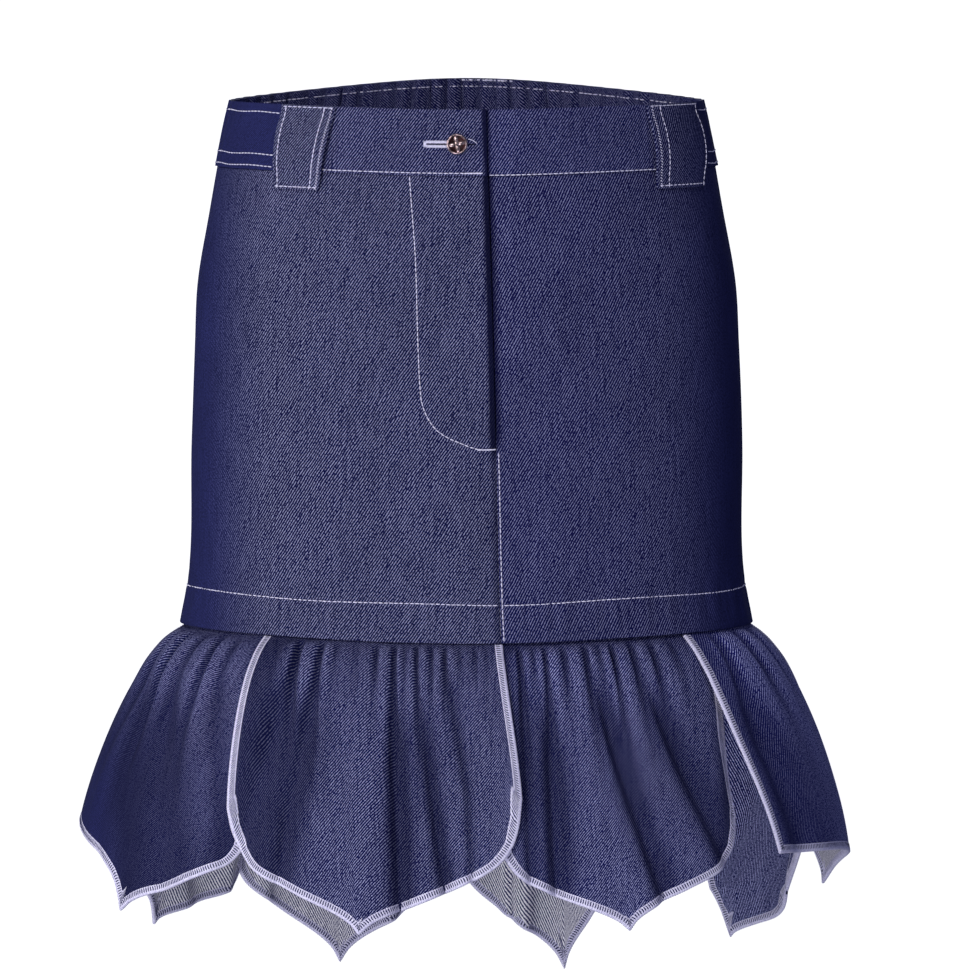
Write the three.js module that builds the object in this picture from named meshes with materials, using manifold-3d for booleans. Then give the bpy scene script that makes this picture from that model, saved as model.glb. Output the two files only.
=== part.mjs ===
// A short denim skirt, filled out as if it were worn, with a flounce of eight overlapping petals.
// Millimetres, +Z up. The front faces -Y and the origin is the middle of the waist opening.
// Angles are degrees round the body: 0 is the front, 90 the wearer's left side, 180 the back.
// A drop is a distance down from the waist edge or from the flounce seam, and out is a distance off the cloth.
import * as THREE from 'three';
import { mergeVertices } from 'three/addons/utils/BufferGeometryUtils.js';
import Module from 'manifold-3d';

// Cloth
const clothWall = 1.5;
const seamGap = 0.3;
const layerStep = clothWall + seamGap;

// Waistband: two layers of denim folded over, standing proud of the panels below it
const bandHeight = 41;
const bandFace = 1.5;
const bandWall = 2.5;
const bandRightJoin = -58;
const bandLeftJoin = 61.4;
const underlapStart = -10;
const underlapFace = bandFace - bandWall - seamGap;
const elasticPeriod = 5.45;
const elasticDepth = 1.5;
const elasticStart = 66;
const elasticFull = 112;
const elasticFade = 38;
const elasticUneven = 0.25;
const elasticUnevenPeriod = 30;
const frontBandColumns = 14;

// Front opening
const placketEdge = 7.04;
const placketEdgeAtHem = 9.9;
const flyEnd = 211;
const flyShieldStart = -12;
const flyRecess = 1.2;
const flyRecessWidth = 9;
const flyRecessFade = 20;
const underlapRise = 0.8;
const underlapLevel = 11;
const underlapColumn = 3;

// Body and flounce
const bodyDrop = 328;
const tuckedIn = 6;
const tuckedBehind = 2.3;
const panelColumns = 18;
const frontFlareShare = 0.6;
const flareLean = 0.12;
const swingDrop = 150;
const swingMost = 1.2;

// Gathers start below the seam, and are flatter where one petal passes over the next
const gatherStart = 1;
const gatherFull = 13;
const gatherFade = 0.7;
const flatBorder = 3.2;
const flatShare = 0.9;
const foldFull = 0.45;

// A petal hangs clear of the one over it from spaceStart down, and the side of one petal curls in behind
const petalSpace = 3;
const spaceStart = 2;
const spaceFull = 40;
const curlSide = 0.9;
const curlBend = 1.3;
const curlStart = 10;
const curlFull = 90;
const standStart = 30;
const standFull = 140;

// Columns of a petal, as shares of its width: at its sides, beside its tip, and the least space between two
const sideColumns = [0, 0.02, 0.06];
const tipColumn = 0.05;
const columnSpace = 0.022;

// Button, and the slit that its post comes through
const buttonAngle = -3.17;
const buttonDrop = 21.5;
const buttonRadius = 6.5;
const buttonThickness = 2.6;
const buttonOff = 0.5;
const buttonRound = 0.8;
const buttonBackFlat = 0.6;
const buttonFrontFlat = 0.5;
const rimInside = 1.1;
const rimDrop = 0.1;
const dishEdge = 1.6;
const dishDepth = 1;
const bossRadius = 2;
const bossDepth = 0.7;
const centreDepth = 0.6;
const openingRadius = 0.8;
const openingRing = 3.2;
const openings = 4;
const postRadius = 1.6;
const eyeRadius = 2.1;
const slitStart = -25;
const slitEnd = 5.5;
const slitHeight = 1;
const slitDepth = 12;
const buttonSides = 32;
const eyeSides = 20;
const openingSides = 12;

// Level sections of the body, from the waist edge to the flounce seam
const sections = [
  { drop: 0, half: 147.5, front: 101, back: 107, square: 2.25 },
  { drop: 15, half: 151, front: 103, back: 110, square: 2.25 },
  { drop: 40, half: 156, front: 106, back: 115, square: 2.25 },
  { drop: 67, half: 161, front: 109, back: 121, square: 2.3 },
  { drop: 113, half: 169, front: 113, back: 130, square: 2.35 },
  { drop: 151, half: 171, front: 116, back: 134, square: 2.4 },
  { drop: 218, half: 173.4, front: 119, back: 135, square: 2.4 },
  { drop: 275, half: 173.4, front: 120, back: 130, square: 2.4 },
  { drop: 308, half: 176, front: 122, back: 128, square: 2.35 },
  { drop: 328, half: 180, front: 125, back: 130, square: 2.3 },
];

// How far the waist and the hem dip at the front and rise at the back, against the sides
const tilts = [
  { drop: 0, front: -3.7, back: 11.8 },
  { drop: 328, front: -6, back: -5 },
];

// How far the flounce stands out from the seam at the sides of the body
const flares = [
  { drop: -tuckedIn, out: -tuckedBehind },
  { drop: 0, out: -tuckedBehind },
  { drop: 2, out: 0 },
  { drop: 6, out: 6 },
  { drop: 12, out: 13 },
  { drop: 26, out: 24.5 },
  { drop: 50, out: 37.5 },
  { drop: 80, out: 49.5 },
  { drop: 112, out: 58.5 },
  { drop: 143, out: 64 },
  { drop: 180, out: 68 },
  { drop: 260, out: 74 },
];

// How far the petals swing round as they hang
const swings = [
  { at: -180, turn: 0 },
  { at: -130, turn: 0 },
  { at: -92, turn: -3 },
  { at: -52.5, turn: 1 },
  { at: 10, turn: 3.7 },
  { at: 57, turn: 6.5 },
  { at: 78, turn: 14 },
  { at: 98, turn: 20 },
  { at: 120, turn: 12 },
  { at: 142, turn: 6 },
  { at: 180, turn: 0 },
];

// Gathers of the front half at the flounce seam, and how far down each one runs
const frontGathers = [
  { at: -85, deep: 1.8, reach: 60 },
  { at: -79.8, deep: 2.2, reach: 90 },
  { at: -73.9, deep: 2.6, reach: 130 },
  { at: -68.5, deep: 1.6, reach: 50 },
  { at: -62.9, deep: 2.4, reach: 80 },
  { at: -58.5, deep: 1.6, reach: 40 },
  { at: -53, deep: 1.4, reach: 50 },
  { at: -48, deep: 1.2, reach: 40 },
  { at: -43.1, deep: 2.4, reach: 90 },
  { at: -37.8, deep: 2.2, reach: 60 },
  { at: -33.5, deep: 1, reach: 30 },
  { at: -29.4, deep: 1.6, reach: 40 },
  { at: -24.5, deep: 1.8, reach: 45 },
  { at: -19.8, deep: 2.6, reach: 160 },
  { at: -14.1, deep: 2.4, reach: 100 },
  { at: -9.8, deep: 1.2, reach: 35 },
  { at: -6.3, deep: 2.2, reach: 60 },
  { at: 0.8, deep: 1.6, reach: 40 },
  { at: 5.6, deep: 1.2, reach: 40 },
  { at: 10.1, deep: 1.6, reach: 60 },
  { at: 14.8, deep: 1.8, reach: 60 },
  { at: 21.2, deep: 2.2, reach: 100 },
  { at: 26.2, deep: 1.8, reach: 45 },
  { at: 31.7, deep: 2, reach: 60 },
  { at: 37.9, deep: 2.2, reach: 80 },
  { at: 42.7, deep: 2, reach: 80 },
  { at: 47.3, deep: 1.8, reach: 50 },
  { at: 52.4, deep: 1.4, reach: 40 },
  { at: 57.4, deep: 1.6, reach: 50 },
  { at: 63, deep: 1.8, reach: 50 },
  { at: 71.2, deep: 2.4, reach: 80 },
  { at: 78, deep: 2, reach: 60 },
  { at: 84.5, deep: 1.8, reach: 60 },
];

// Broad soft folds of the front half, further down the petals
const frontFolds = [
  { at: -75, low: -64, deep: 6, wide: 4, from: 10, to: 170 },
  { at: -43, low: -49, deep: 6, wide: 4, from: 10, to: 150 },
  { at: -19.8, low: -19.4, deep: 5, wide: 2.6, from: 4, to: 190 },
  { at: -14, low: -8, deep: 4, wide: 3, from: 20, to: 160 },
  { at: 21, low: 17, deep: 5, wide: 4, from: 10, to: 180 },
  { at: 38, low: 39, deep: 4, wide: 3, from: 10, to: 120 },
  { at: 64, low: 66, deep: 6, wide: 4, from: 8, to: 160 },
];

// Petals, from the wearer's right side round to the right of the back. Each is gathered on between from and to
// and hangs between lowFrom and lowTo. side is the share of its length at which its straight sides end, and bend
// is how hollow the lower edge runs from there to its tip. A petal lies under the neighbours of a lower layer,
// curl is how far its last side turns in, and stand how far it stands off further down.
const petals = [
  {
    name: 'petal_side_right', from: -94, to: -49.5, lowFrom: -94, lowTo: -49.5, tip: -69, long: 173,
    sideFrom: 0.72, sideTo: 0.6, bendFrom: 5, bendTo: 1, layer: 1, curl: 0, stand: 0,
  },
  {
    name: 'petal_front_right', from: -52.5, to: 10.2, lowFrom: -52.5, lowTo: 12.2, tip: -28.4, long: 178,
    sideFrom: 0.58, sideTo: 0.53, bendFrom: 1, bendTo: 1, layer: 0, curl: 0, stand: 0,
  },
  {
    name: 'petal_front_left', from: 6.5, to: 60, lowFrom: 5, lowTo: 59.4, tip: 32.7, long: 177.5,
    sideFrom: 0.6, sideTo: 0.62, bendFrom: 1, bendTo: 1.1, layer: 1, curl: 13, stand: 0,
  },
  {
    name: 'petal_side_left', from: 56.3, to: 89, lowFrom: 58.2, lowTo: 94, tip: 86.5, long: 173,
    sideFrom: 0.79, sideTo: 0.62, bendFrom: 4.9, bendTo: 1.2, layer: 0, curl: 0, stand: 5,
  },
  {
    name: 'petal_back_outer_left', from: 85.5, to: 139, lowFrom: 90, lowTo: 137, tip: 100, long: 211,
    sideFrom: 0.86, sideTo: 0.5, bendFrom: 1, bendTo: 2.4, layer: 1, curl: 0, stand: 0,
  },
  {
    name: 'petal_back_left', from: 136, to: 187, lowFrom: 135, lowTo: 186, tip: 150.8, long: 233,
    sideFrom: 0.6, sideTo: 0.56, bendFrom: 1.2, bendTo: 1.2, layer: 0, curl: 0, stand: 0,
  },
  {
    name: 'petal_back_right', from: 184, to: 233, lowFrom: 183, lowTo: 232, tip: 209.8, long: 228.5,
    sideFrom: 0.58, sideTo: 0.58, bendFrom: 1.1, bendTo: 1.1, layer: 1, curl: 0, stand: 0,
  },
  {
    name: 'petal_back_outer_right', from: 230, to: 269, lowFrom: 230, lowTo: 263, tip: 247, long: 200,
    sideFrom: 0.82, sideTo: 0.6, bendFrom: 1.2, bendTo: 2, layer: 2, curl: 0, stand: 0,
  },
];

// A petal's lower edge, from the end of its straight side to its tip
const petalEdge = [
  { across: 0, fall: 0 },
  { across: 0.03, fall: 0.19 },
  { across: 0.08, fall: 0.35 },
  { across: 0.2, fall: 0.51 },
  { across: 0.5, fall: 0.68 },
  { across: 0.8, fall: 0.83 },
  { across: 0.93, fall: 0.915 },
  { across: 1, fall: 1 },
];

// Belt loops: their sides at the top and at the foot
const beltLoops = [
  { name: 'belt_loop_right', topFrom: -57.8, topTo: -41.8, lowFrom: -57, lowTo: -44.6 },
  { name: 'belt_loop_left', topFrom: 56.6, topTo: 75.6, lowFrom: 56.4, lowTo: 73 },
];

// How far a belt loop's back face stands off the body
const loopLifts = [
  { drop: 0, out: 1.9 },
  { drop: 6, out: 1.9 },
  { drop: 15, out: 4.2 },
  { drop: 26, out: 5.3 },
  { drop: 36, out: 4.4 },
  { drop: 44, out: 2.1 },
  { drop: 49, out: 0.8 },
  { drop: 52.5, out: 0.4 },
];
const loopWall = 2;
const loopColumns = 5;

const degree = Math.PI / 180;

// A column of a table at any value of its key, on a smooth curve through the rows
function sample(rows, key, at, column) {
  const last = rows.length - 1;
  if (at <= rows[0][key]) return rows[0][column];
  if (at >= rows[last][key]) return rows[last][column];
  let i = 0;
  while (rows[i + 1][key] < at) i += 1;
  const slope = (a, b) => (rows[b][column] - rows[a][column]) / (rows[b][key] - rows[a][key]);
  const span = rows[i + 1][key] - rows[i][key];
  const t = (at - rows[i][key]) / span;
  const start = slope(Math.max(i - 1, 0), i + 1) * span;
  const end = slope(i, Math.min(i + 2, last)) * span;
  const rise = rows[i + 1][column] - rows[i][column];
  return rows[i][column] + t * (start + t * (3 * rise - 2 * start - end + t * (start + end - 2 * rise)));
}

// A value that goes smoothly from 0 at low to 1 at high
function ease(low, high, at) {
  const t = Math.min(Math.max((at - low) / (high - low), 0), 1);
  return t * t * (3 - 2 * t);
}

// Degrees brought between -180 and 180
function wrapped(angle) {
  return ((angle + 180) % 360 + 360) % 360 - 180;
}

// The bare surface of the body, and the level direction off it
function bodySurface(angle, drop) {
  const turn = angle * degree;
  const depth = sample(sections, 'drop', drop, Math.cos(turn) > 0 ? 'front' : 'back');
  const square = sample(sections, 'drop', drop, 'square');
  const half = sample(sections, 'drop', drop, 'half');
  const across = Math.abs(Math.sin(turn) / half) ** square;
  const along = Math.abs(Math.cos(turn) / depth) ** square;
  const radius = (across + along) ** (-1 / square);
  const tilt = sample(tilts, 'drop', drop, Math.cos(turn) > 0 ? 'front' : 'back') * Math.cos(turn) ** 2;
  return new THREE.Vector3(radius * Math.sin(turn), -radius * Math.cos(turn), tilt - drop);
}

function levelNormal(angle, drop) {
  const step = 0.01;
  const along = bodySurface(angle + step, drop).sub(bodySurface(angle - step, drop));
  return new THREE.Vector3(along.y, -along.x, 0).normalize();
}

// The direction straight off the body, which leans where the body widens
function surfaceNormal(angle, drop) {
  const down = bodySurface(angle, drop + 1).sub(bodySurface(angle, drop - 1));
  const along = bodySurface(angle + 0.5, drop).sub(bodySurface(angle - 0.5, drop));
  return down.cross(along).normalize();
}

function bodyPoint(angle, drop, out) {
  return bodySurface(angle, drop).addScaledVector(levelNormal(angle, drop), out);
}

// The small waves that the elastic draws into the back of the waist, which fade down the back panel
function elasticWave(angle, drop) {
  const away = Math.abs(wrapped(angle));
  const strength = elasticDepth * ease(elasticStart, elasticFull, away);
  const uneven = 1 - elasticUneven + elasticUneven * Math.sin(angle / elasticUnevenPeriod * 2 * Math.PI);
  const fade = Math.exp(-Math.max(drop - bandHeight, 0) / elasticFade);
  return strength * uneven * fade * Math.cos((angle - bandLeftJoin) / elasticPeriod * 2 * Math.PI);
}

// Front rows repeated on the back, mirrored from side to side of the body
function allRound(rows, columns) {
  const mirrored = (row) => Object.fromEntries(columns.map((column) => [column, wrapped(180 - row[column])]));
  const back = rows.map((row) => ({ ...row, ...mirrored(row) }));
  return [...rows, ...back].sort((one, other) => one.at - other.at);
}
const gathers = allRound(frontGathers, ['at']);
const folds = allRound(frontFolds, ['at', 'low']);

// Where one petal passes over the next, the cloth is gathered less
const borders = petals.map((row, i) => {
  const before = petals[(i + petals.length - 1) % petals.length];
  return wrapped(row.from + wrapped(before.to - row.from) / 2);
});

function flattened(angle) {
  return borders.reduce((share, border) => {
    const away = wrapped(angle - border) / flatBorder;
    return share * (1 - flatShare * Math.exp(-away * away));
  }, 1);
}

// The gathers and folds of the flounce at a place on it
function gatherWave(angle, drop) {
  const at = wrapped(angle);
  let next = gathers.findIndex((row) => row.at > at);
  if (next < 0) next = 0;
  const right = gathers[next];
  const left = gathers[(next + gathers.length - 1) % gathers.length];
  const span = (right.at - left.at + 360) % 360;
  const t = ((at - left.at + 360) % 360) / span;
  const size = (row) => row.deep * Math.exp(-gatherFade * (drop / row.reach) ** 2);
  const deep = flattened(at) * ease(gatherStart, gatherFull, drop) * (size(left) * (1 - t) + size(right) * t);
  return -deep * Math.cos(t * 2 * Math.PI);
}

function foldWave(angle, drop) {
  let total = 0;
  for (const row of folds) {
    const t = (drop - row.from) / (row.to - row.from);
    if (t <= 0) continue;
    const middle = row.at + wrapped(row.low - row.at) * Math.min(t, 1);
    const away = wrapped(angle - middle) / row.wide;
    total -= row.deep * ease(0, foldFull, t) * Math.exp(-away * away);
  }
  return total;
}

// A point of the flounce, from the angle where its thread of cloth is gathered on and the drop from the seam
function flouncePoint(angle, drop, out) {
  const at = wrapped(angle);
  const turned = angle + sample(swings, 'at', at, 'turn') * Math.min(Math.max(drop / swingDrop, 0), swingMost);
  const normal = levelNormal(turned, bodyDrop);
  const side = Math.sin(turned * degree);
  const share = (frontFlareShare + (1 - frontFlareShare) * side ** 2) * (1 - flareLean * side);
  const standing = (d) => {
    const off = sample(flares, 'drop', d, 'out');
    return off > 0 ? off * share : off;
  };
  const slope = drop > 0 ? (standing(drop + 1) - standing(drop - 1)) / 2 : 0;
  const lean = normal.clone().add(new THREE.Vector3(0, 0, slope)).normalize();
  const point = bodyPoint(turned, bodyDrop + Math.min(drop, 0), standing(drop));
  point.z -= Math.max(drop, 0);
  return point.addScaledVector(lean, out + gatherWave(angle, drop) + foldWave(angle, drop));
}

// A closed wall of cloth from its outer and inner points over a grid of columns and rows
function clothGeometry(columns, rows, outer, inner) {
  const points = [];
  for (const face of [outer, inner]) {
    for (const row of rows) {
      for (const column of columns) points.push(face(column, row));
    }
  }
  const wide = columns.length;
  const high = rows.length;
  const at = (side, row, column) => side * wide * high + row * wide + column;
  const triangles = [];
  const quad = (a, b, c, d) => triangles.push(a, b, c, a, c, d);
  for (let row = 0; row + 1 < high; row += 1) {
    for (let column = 0; column + 1 < wide; column += 1) {
      quad(at(0, row, column), at(0, row + 1, column), at(0, row + 1, column + 1), at(0, row, column + 1));
      quad(at(1, row, column), at(1, row, column + 1), at(1, row + 1, column + 1), at(1, row + 1, column));
    }
    quad(at(0, row, 0), at(1, row, 0), at(1, row + 1, 0), at(0, row + 1, 0));
    quad(at(0, row, wide - 1), at(0, row + 1, wide - 1), at(1, row + 1, wide - 1), at(1, row, wide - 1));
  }
  for (let column = 0; column + 1 < wide; column += 1) {
    quad(at(0, 0, column), at(0, 0, column + 1), at(1, 0, column + 1), at(1, 0, column));
    quad(at(0, high - 1, column), at(1, high - 1, column), at(1, high - 1, column + 1), at(0, high - 1, column + 1));
  }
  const geometry = new THREE.BufferGeometry();
  geometry.setAttribute('position', new THREE.Float32BufferAttribute(points.flatMap((p) => p.toArray()), 3));
  geometry.setIndex(triangles);
  geometry.computeVertexNormals();
  return geometry;
}

// Evenly spread values from low to high, both ends included
function spread(low, high, count) {
  return Array.from({ length: count + 1 }, (_, i) => low + (high - low) * i / count);
}

// The degrees that a level distance takes up on the body
function degreesFor(distance, angle, drop) {
  const perDegree = bodySurface(angle + 0.5, drop).distanceTo(bodySurface(angle - 0.5, drop));
  return distance / perDegree;
}

const denim = { color: 0x3a3d72, roughness: 0.88, metalness: 0 };
const metal = { color: 0x4b4250, roughness: 0.35, metalness: 0.9 };

const wasm = await Module();
wasm.setup();

function toSolid(geometry) {
  const bare = geometry.clone();
  bare.deleteAttribute('normal');
  bare.deleteAttribute('uv');
  const merged = mergeVertices(bare, 1e-4);
  return new wasm.Manifold(new wasm.Mesh({
    numProp: 3,
    vertProperties: new Float32Array(merged.attributes.position.array),
    triVerts: new Uint32Array(merged.index.array),
  }));
}

function fromSolid(solid) {
  const mesh = solid.getMesh();
  const geometry = new THREE.BufferGeometry();
  geometry.setAttribute('position', new THREE.BufferAttribute(mesh.vertProperties, 3));
  geometry.setIndex(new THREE.BufferAttribute(mesh.triVerts, 1));
  geometry.computeVertexNormals();
  return geometry;
}

function cutAway(geometry, tools) {
  return fromSolid(tools.reduce((solid, tool) => solid.subtract(toSolid(tool)), toSolid(geometry)));
}

const skirt = new THREE.Group();

function add(name, geometry, finish) {
  const mesh = new THREE.Mesh(geometry, new THREE.MeshStandardMaterial(finish));
  mesh.name = name;
  skirt.add(mesh);
  return mesh;
}

// The folded front edge leans a little towards the wearer's left on its way down
function placketAt(drop) {
  return placketEdge + (placketEdgeAtHem - placketEdge) * drop / bodyDrop;
}

// Panels of the body. A column is a share of the way across, so a panel's edges can slant.
const panelDrops = [bandHeight + seamGap, 60, 86, 118, 158, flyEnd, 268, 303, bodyDrop];

function addPanel(name, leftEdge, rightEdge, columns, face) {
  const angle = (share, drop) => leftEdge(drop) + (rightEdge(drop) - leftEdge(drop)) * share;
  const point = (inward) => (share, drop) => {
    const at = angle(share, drop);
    return bodyPoint(at, drop, face(at, drop) - inward);
  };
  add(name, clothGeometry(columns, panelDrops, point(0), point(clothWall)), denim);
}

function sideGap(drop) {
  return degreesFor(seamGap / 2, 90, drop);
}

addPanel('front_panel_right', (drop) => -90 + sideGap(drop), placketAt, spread(0, 1, panelColumns), () => 0);

// Beside the placket the left panel lies lower, where it passes under the folded edge
function underFly(angle, drop) {
  const near = 1 - ease(0, flyRecessWidth, angle - placketAt(drop));
  return -flyRecess * near * (1 - ease(flyEnd - flyRecessFade, flyEnd + flyRecessFade, drop));
}
addPanel('front_panel_left', (drop) => placketAt(drop) + degreesFor(seamGap, 0, drop),
  (drop) => 90 - sideGap(drop), spread(0, 1, panelColumns), underFly);

const backColumns = spread(0, 1, Math.round(180 / elasticPeriod * 2));
addPanel('back_panel', (drop) => 90 + sideGap(drop), (drop) => 270 - sideGap(drop), backColumns, elasticWave);

// The shield behind the fly, sewn on beside the left panel's edge
function flyShield() {
  const angle = (share, drop) => flyShieldStart + (placketAt(drop) - flyShieldStart) * share;
  const point = (inward) => (share, drop) => bodyPoint(angle(share, drop), drop, -layerStep - inward);
  return clothGeometry(spread(0, 1, 4), spread(bandHeight + seamGap, flyEnd, 4), point(0), point(clothWall));
}
add('fly_shield', flyShield(), denim);

// Waistband pieces
const bandDrops = [0, bandHeight / 3, bandHeight * 2 / 3, bandHeight];

function bandPiece(columns, face, wall) {
  const point = (inward) => (angle, drop) => bodyPoint(angle, drop, face(angle, drop) - inward);
  return clothGeometry(columns, bandDrops, point(0), point(wall));
}

// The buttonhole's slit and the round eye at the button's post
function buttonholeTools(place) {
  const slit = new THREE.BoxGeometry(slitEnd - slitStart, slitDepth, slitHeight);
  slit.translate((slitStart + slitEnd) / 2, place.y, place.z);
  const eye = new THREE.CylinderGeometry(eyeRadius, eyeRadius, slitDepth, eyeSides);
  eye.translate(place.x, place.y, place.z);
  return [slit, eye];
}

const buttonSeat = bodyPoint(buttonAngle, buttonDrop, bandFace);
const bandEnd = bandRightJoin + degreesFor(seamGap, bandRightJoin, 0);
const frontRight = bandPiece(spread(bandEnd, placketEdge, frontBandColumns), () => bandFace, bandWall);
add('waistband_front_right', cutAway(frontRight, buttonholeTools(buttonSeat)), denim);

function leftBandFace(angle) {
  const rise = ease(placketEdge + underlapRise, placketEdge + underlapLevel, angle);
  return underlapFace + (bandFace - underlapFace) * rise;
}
const underlapColumns = spread(underlapStart, placketEdge + underlapRise, 4);
const coverColumns = spread(placketEdge + underlapColumn, bandLeftJoin, frontBandColumns);
const leftBandColumns = [...underlapColumns, ...coverColumns];
add('waistband_front_left', bandPiece(leftBandColumns, leftBandFace, bandWall), denim);

const backBandStart = bandLeftJoin + degreesFor(seamGap, bandLeftJoin, 0);
const backBandEnd = 360 + bandRightJoin;
const backBandWaves = Math.round((backBandEnd - backBandStart) / elasticPeriod * 2);
const backBandColumns = spread(backBandStart, backBandEnd, backBandWaves);
const backBandFace = (angle, drop) => bandFace + elasticWave(angle, drop);
add('waistband_back', bandPiece(backBandColumns, backBandFace, bandWall), denim);

// Belt loops, folded strips that lie on the band at the top and on the panel at the foot
function beltLoop(row) {
  const foot = loopLifts[loopLifts.length - 1].drop;
  const angle = (share, drop) => {
    const from = row.topFrom + (row.lowFrom - row.topFrom) * drop / foot;
    const to = row.topTo + (row.lowTo - row.topTo) * drop / foot;
    return from + (to - from) * share;
  };
  const point = (off) => (share, drop) => {
    const lift = sample(loopLifts, 'drop', drop, 'out');
    return bodyPoint(angle(share, drop), drop, lift + off);
  };
  const drops = [0, 6, 11, 15, 20, 26, 32, 37, 41, 45, 49, foot];
  return clothGeometry(spread(0, 1, loopColumns), drops, point(loopWall), point(0));
}
for (const row of beltLoops) add(row.name, beltLoop(row), denim);

// A rimmed metal button with four round openings, on a post that comes through the buttonhole
function buttonGeometry() {
  const front = buttonOff + buttonThickness;
  const foot = underlapFace - bandFace + seamGap;
  const profile = [
    [0, foot], [postRadius, foot], [postRadius, buttonOff],
    [buttonRadius - buttonBackFlat, buttonOff], [buttonRadius, buttonOff + buttonRound],
    [buttonRadius, front - buttonRound], [buttonRadius - buttonFrontFlat, front],
    [buttonRadius - rimInside, front - rimDrop], [buttonRadius - dishEdge, front - dishDepth],
    [bossRadius, front - bossDepth], [0, front - centreDepth],
  ];
  const disc = new THREE.LatheGeometry(profile.map(([x, y]) => new THREE.Vector2(x, y)), buttonSides);
  const holes = spread(0, 1, openings).slice(1).map((turn) => {
    const hole = new THREE.CylinderGeometry(openingRadius, openingRadius, buttonThickness * 2, openingSides);
    const angle = turn * 2 * Math.PI + Math.PI / openings;
    hole.translate(openingRing * Math.cos(angle), front - buttonThickness / 2, openingRing * Math.sin(angle));
    return hole;
  });
  return cutAway(disc, holes);
}
const button = add('button', buttonGeometry(), metal);
button.position.copy(buttonSeat);
button.quaternion.setFromUnitVectors(new THREE.Vector3(0, 1, 0), surfaceNormal(buttonAngle, buttonDrop));

// How far down a petal reaches at a share of the way across it
function petalReach(row, share) {
  const tipShare = (row.tip - row.lowFrom) / (row.lowTo - row.lowFrom);
  const before = share < tipShare;
  const across = before ? share / tipShare : (1 - share) / (1 - tipShare);
  const side = before ? row.sideFrom : row.sideTo;
  const fall = sample(petalEdge, 'across', across, 'fall') ** (before ? row.bendFrom : row.bendTo);
  return row.long * (side + (1 - side) * fall);
}

// Columns of a petal: its point, its rounded sides, and each gather with the swell beside it
function petalColumns(row) {
  const share = (angle) => (angle - row.from) / (row.to - row.from);
  const inside = gathers.map((gather) => row.from + (gather.at - row.from + 720) % 360)
    .filter((angle) => angle > row.from && angle < row.to).sort((a, b) => a - b).map(share);
  const tipShare = (row.tip - row.lowFrom) / (row.lowTo - row.lowFrom);
  const swells = inside.slice(1).map((value, i) => (value + inside[i]) / 2);
  const besideTip = [tipShare - tipColumn, tipShare, tipShare + tipColumn];
  const fixed = [...sideColumns, ...besideTip, ...sideColumns.map((value) => 1 - value)];
  const free = [...inside, ...swells].filter((value) => fixed.every((held) => Math.abs(held - value) > columnSpace));
  return [...fixed, ...free].sort((a, b) => a - b);
}

// Rows of a petal: down to 1 they are drops from the seam, and beyond it shares of what is left
const petalRows = [-tuckedIn, 0, 2, 6, 12, 22];
const petalShares = [0.2, 0.42, 0.68, 0.9, 1];

function petalGeometry(row) {
  const rows = [...petalRows.map((drop) => ({ drop, part: 0 })), ...petalShares.map((part) => ({ part }))];
  const top = petalRows[petalRows.length - 1];
  const place = (share, { drop, part }) => {
    const reach = petalReach(row, share);
    const down = part > 0 ? top + (reach - top) * part : drop;
    const narrowing = ease(0, reach, down);
    const from = row.from + (row.lowFrom - row.from) * narrowing;
    const to = row.to + (row.lowTo - row.to) * narrowing;
    return { angle: from + (to - from) * share, down };
  };
  const point = (inward) => (share, line) => {
    const { angle, down } = place(share, line);
    const under = layerStep + petalSpace * ease(spaceStart, spaceFull, down);
    const curl = row.curl * ease(curlSide, 1, share) ** curlBend * ease(curlStart, curlFull, down);
    const stand = row.stand * ease(standStart, standFull, down);
    return flouncePoint(angle, down, stand - row.layer * under - curl - inward);
  };
  return clothGeometry(petalColumns(row), rows, point(0), point(clothWall));
}
for (const row of petals) add(row.name, petalGeometry(row), denim);

export default skirt;
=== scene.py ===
import math

import bmesh
import bpy
import numpy as np
from mathutils import Matrix, Vector


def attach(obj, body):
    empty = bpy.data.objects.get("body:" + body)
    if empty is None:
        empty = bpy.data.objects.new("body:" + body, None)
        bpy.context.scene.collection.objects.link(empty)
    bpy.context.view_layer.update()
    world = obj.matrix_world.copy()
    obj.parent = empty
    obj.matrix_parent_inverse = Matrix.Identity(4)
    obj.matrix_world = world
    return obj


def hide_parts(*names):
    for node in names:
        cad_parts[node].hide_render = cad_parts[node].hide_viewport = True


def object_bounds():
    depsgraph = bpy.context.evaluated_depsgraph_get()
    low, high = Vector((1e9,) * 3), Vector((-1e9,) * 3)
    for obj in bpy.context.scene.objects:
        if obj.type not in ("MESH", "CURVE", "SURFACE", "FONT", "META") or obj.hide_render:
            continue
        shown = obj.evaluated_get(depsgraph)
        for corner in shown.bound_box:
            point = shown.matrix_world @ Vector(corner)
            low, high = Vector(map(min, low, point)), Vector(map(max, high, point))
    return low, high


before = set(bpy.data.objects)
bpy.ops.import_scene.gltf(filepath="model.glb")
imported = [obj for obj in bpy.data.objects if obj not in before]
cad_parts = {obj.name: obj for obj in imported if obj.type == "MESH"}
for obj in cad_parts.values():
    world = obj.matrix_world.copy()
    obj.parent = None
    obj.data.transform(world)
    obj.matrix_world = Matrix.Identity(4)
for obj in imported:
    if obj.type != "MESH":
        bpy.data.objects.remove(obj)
cadLow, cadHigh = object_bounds()
print("frame loaded")

# Shapes are worked out in millimetres and degrees round the body: 0 is the front, 90 the wearer's left.
# A drop is a distance down from the waist edge or from the flounce seam.
mm = 0.001

cloth = {"wall": 1.5, "gap": 0.3, "seam": 0.02, "soften": 0.4, "slack": 1.02}
layerStep = cloth["wall"] + cloth["gap"]

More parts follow.
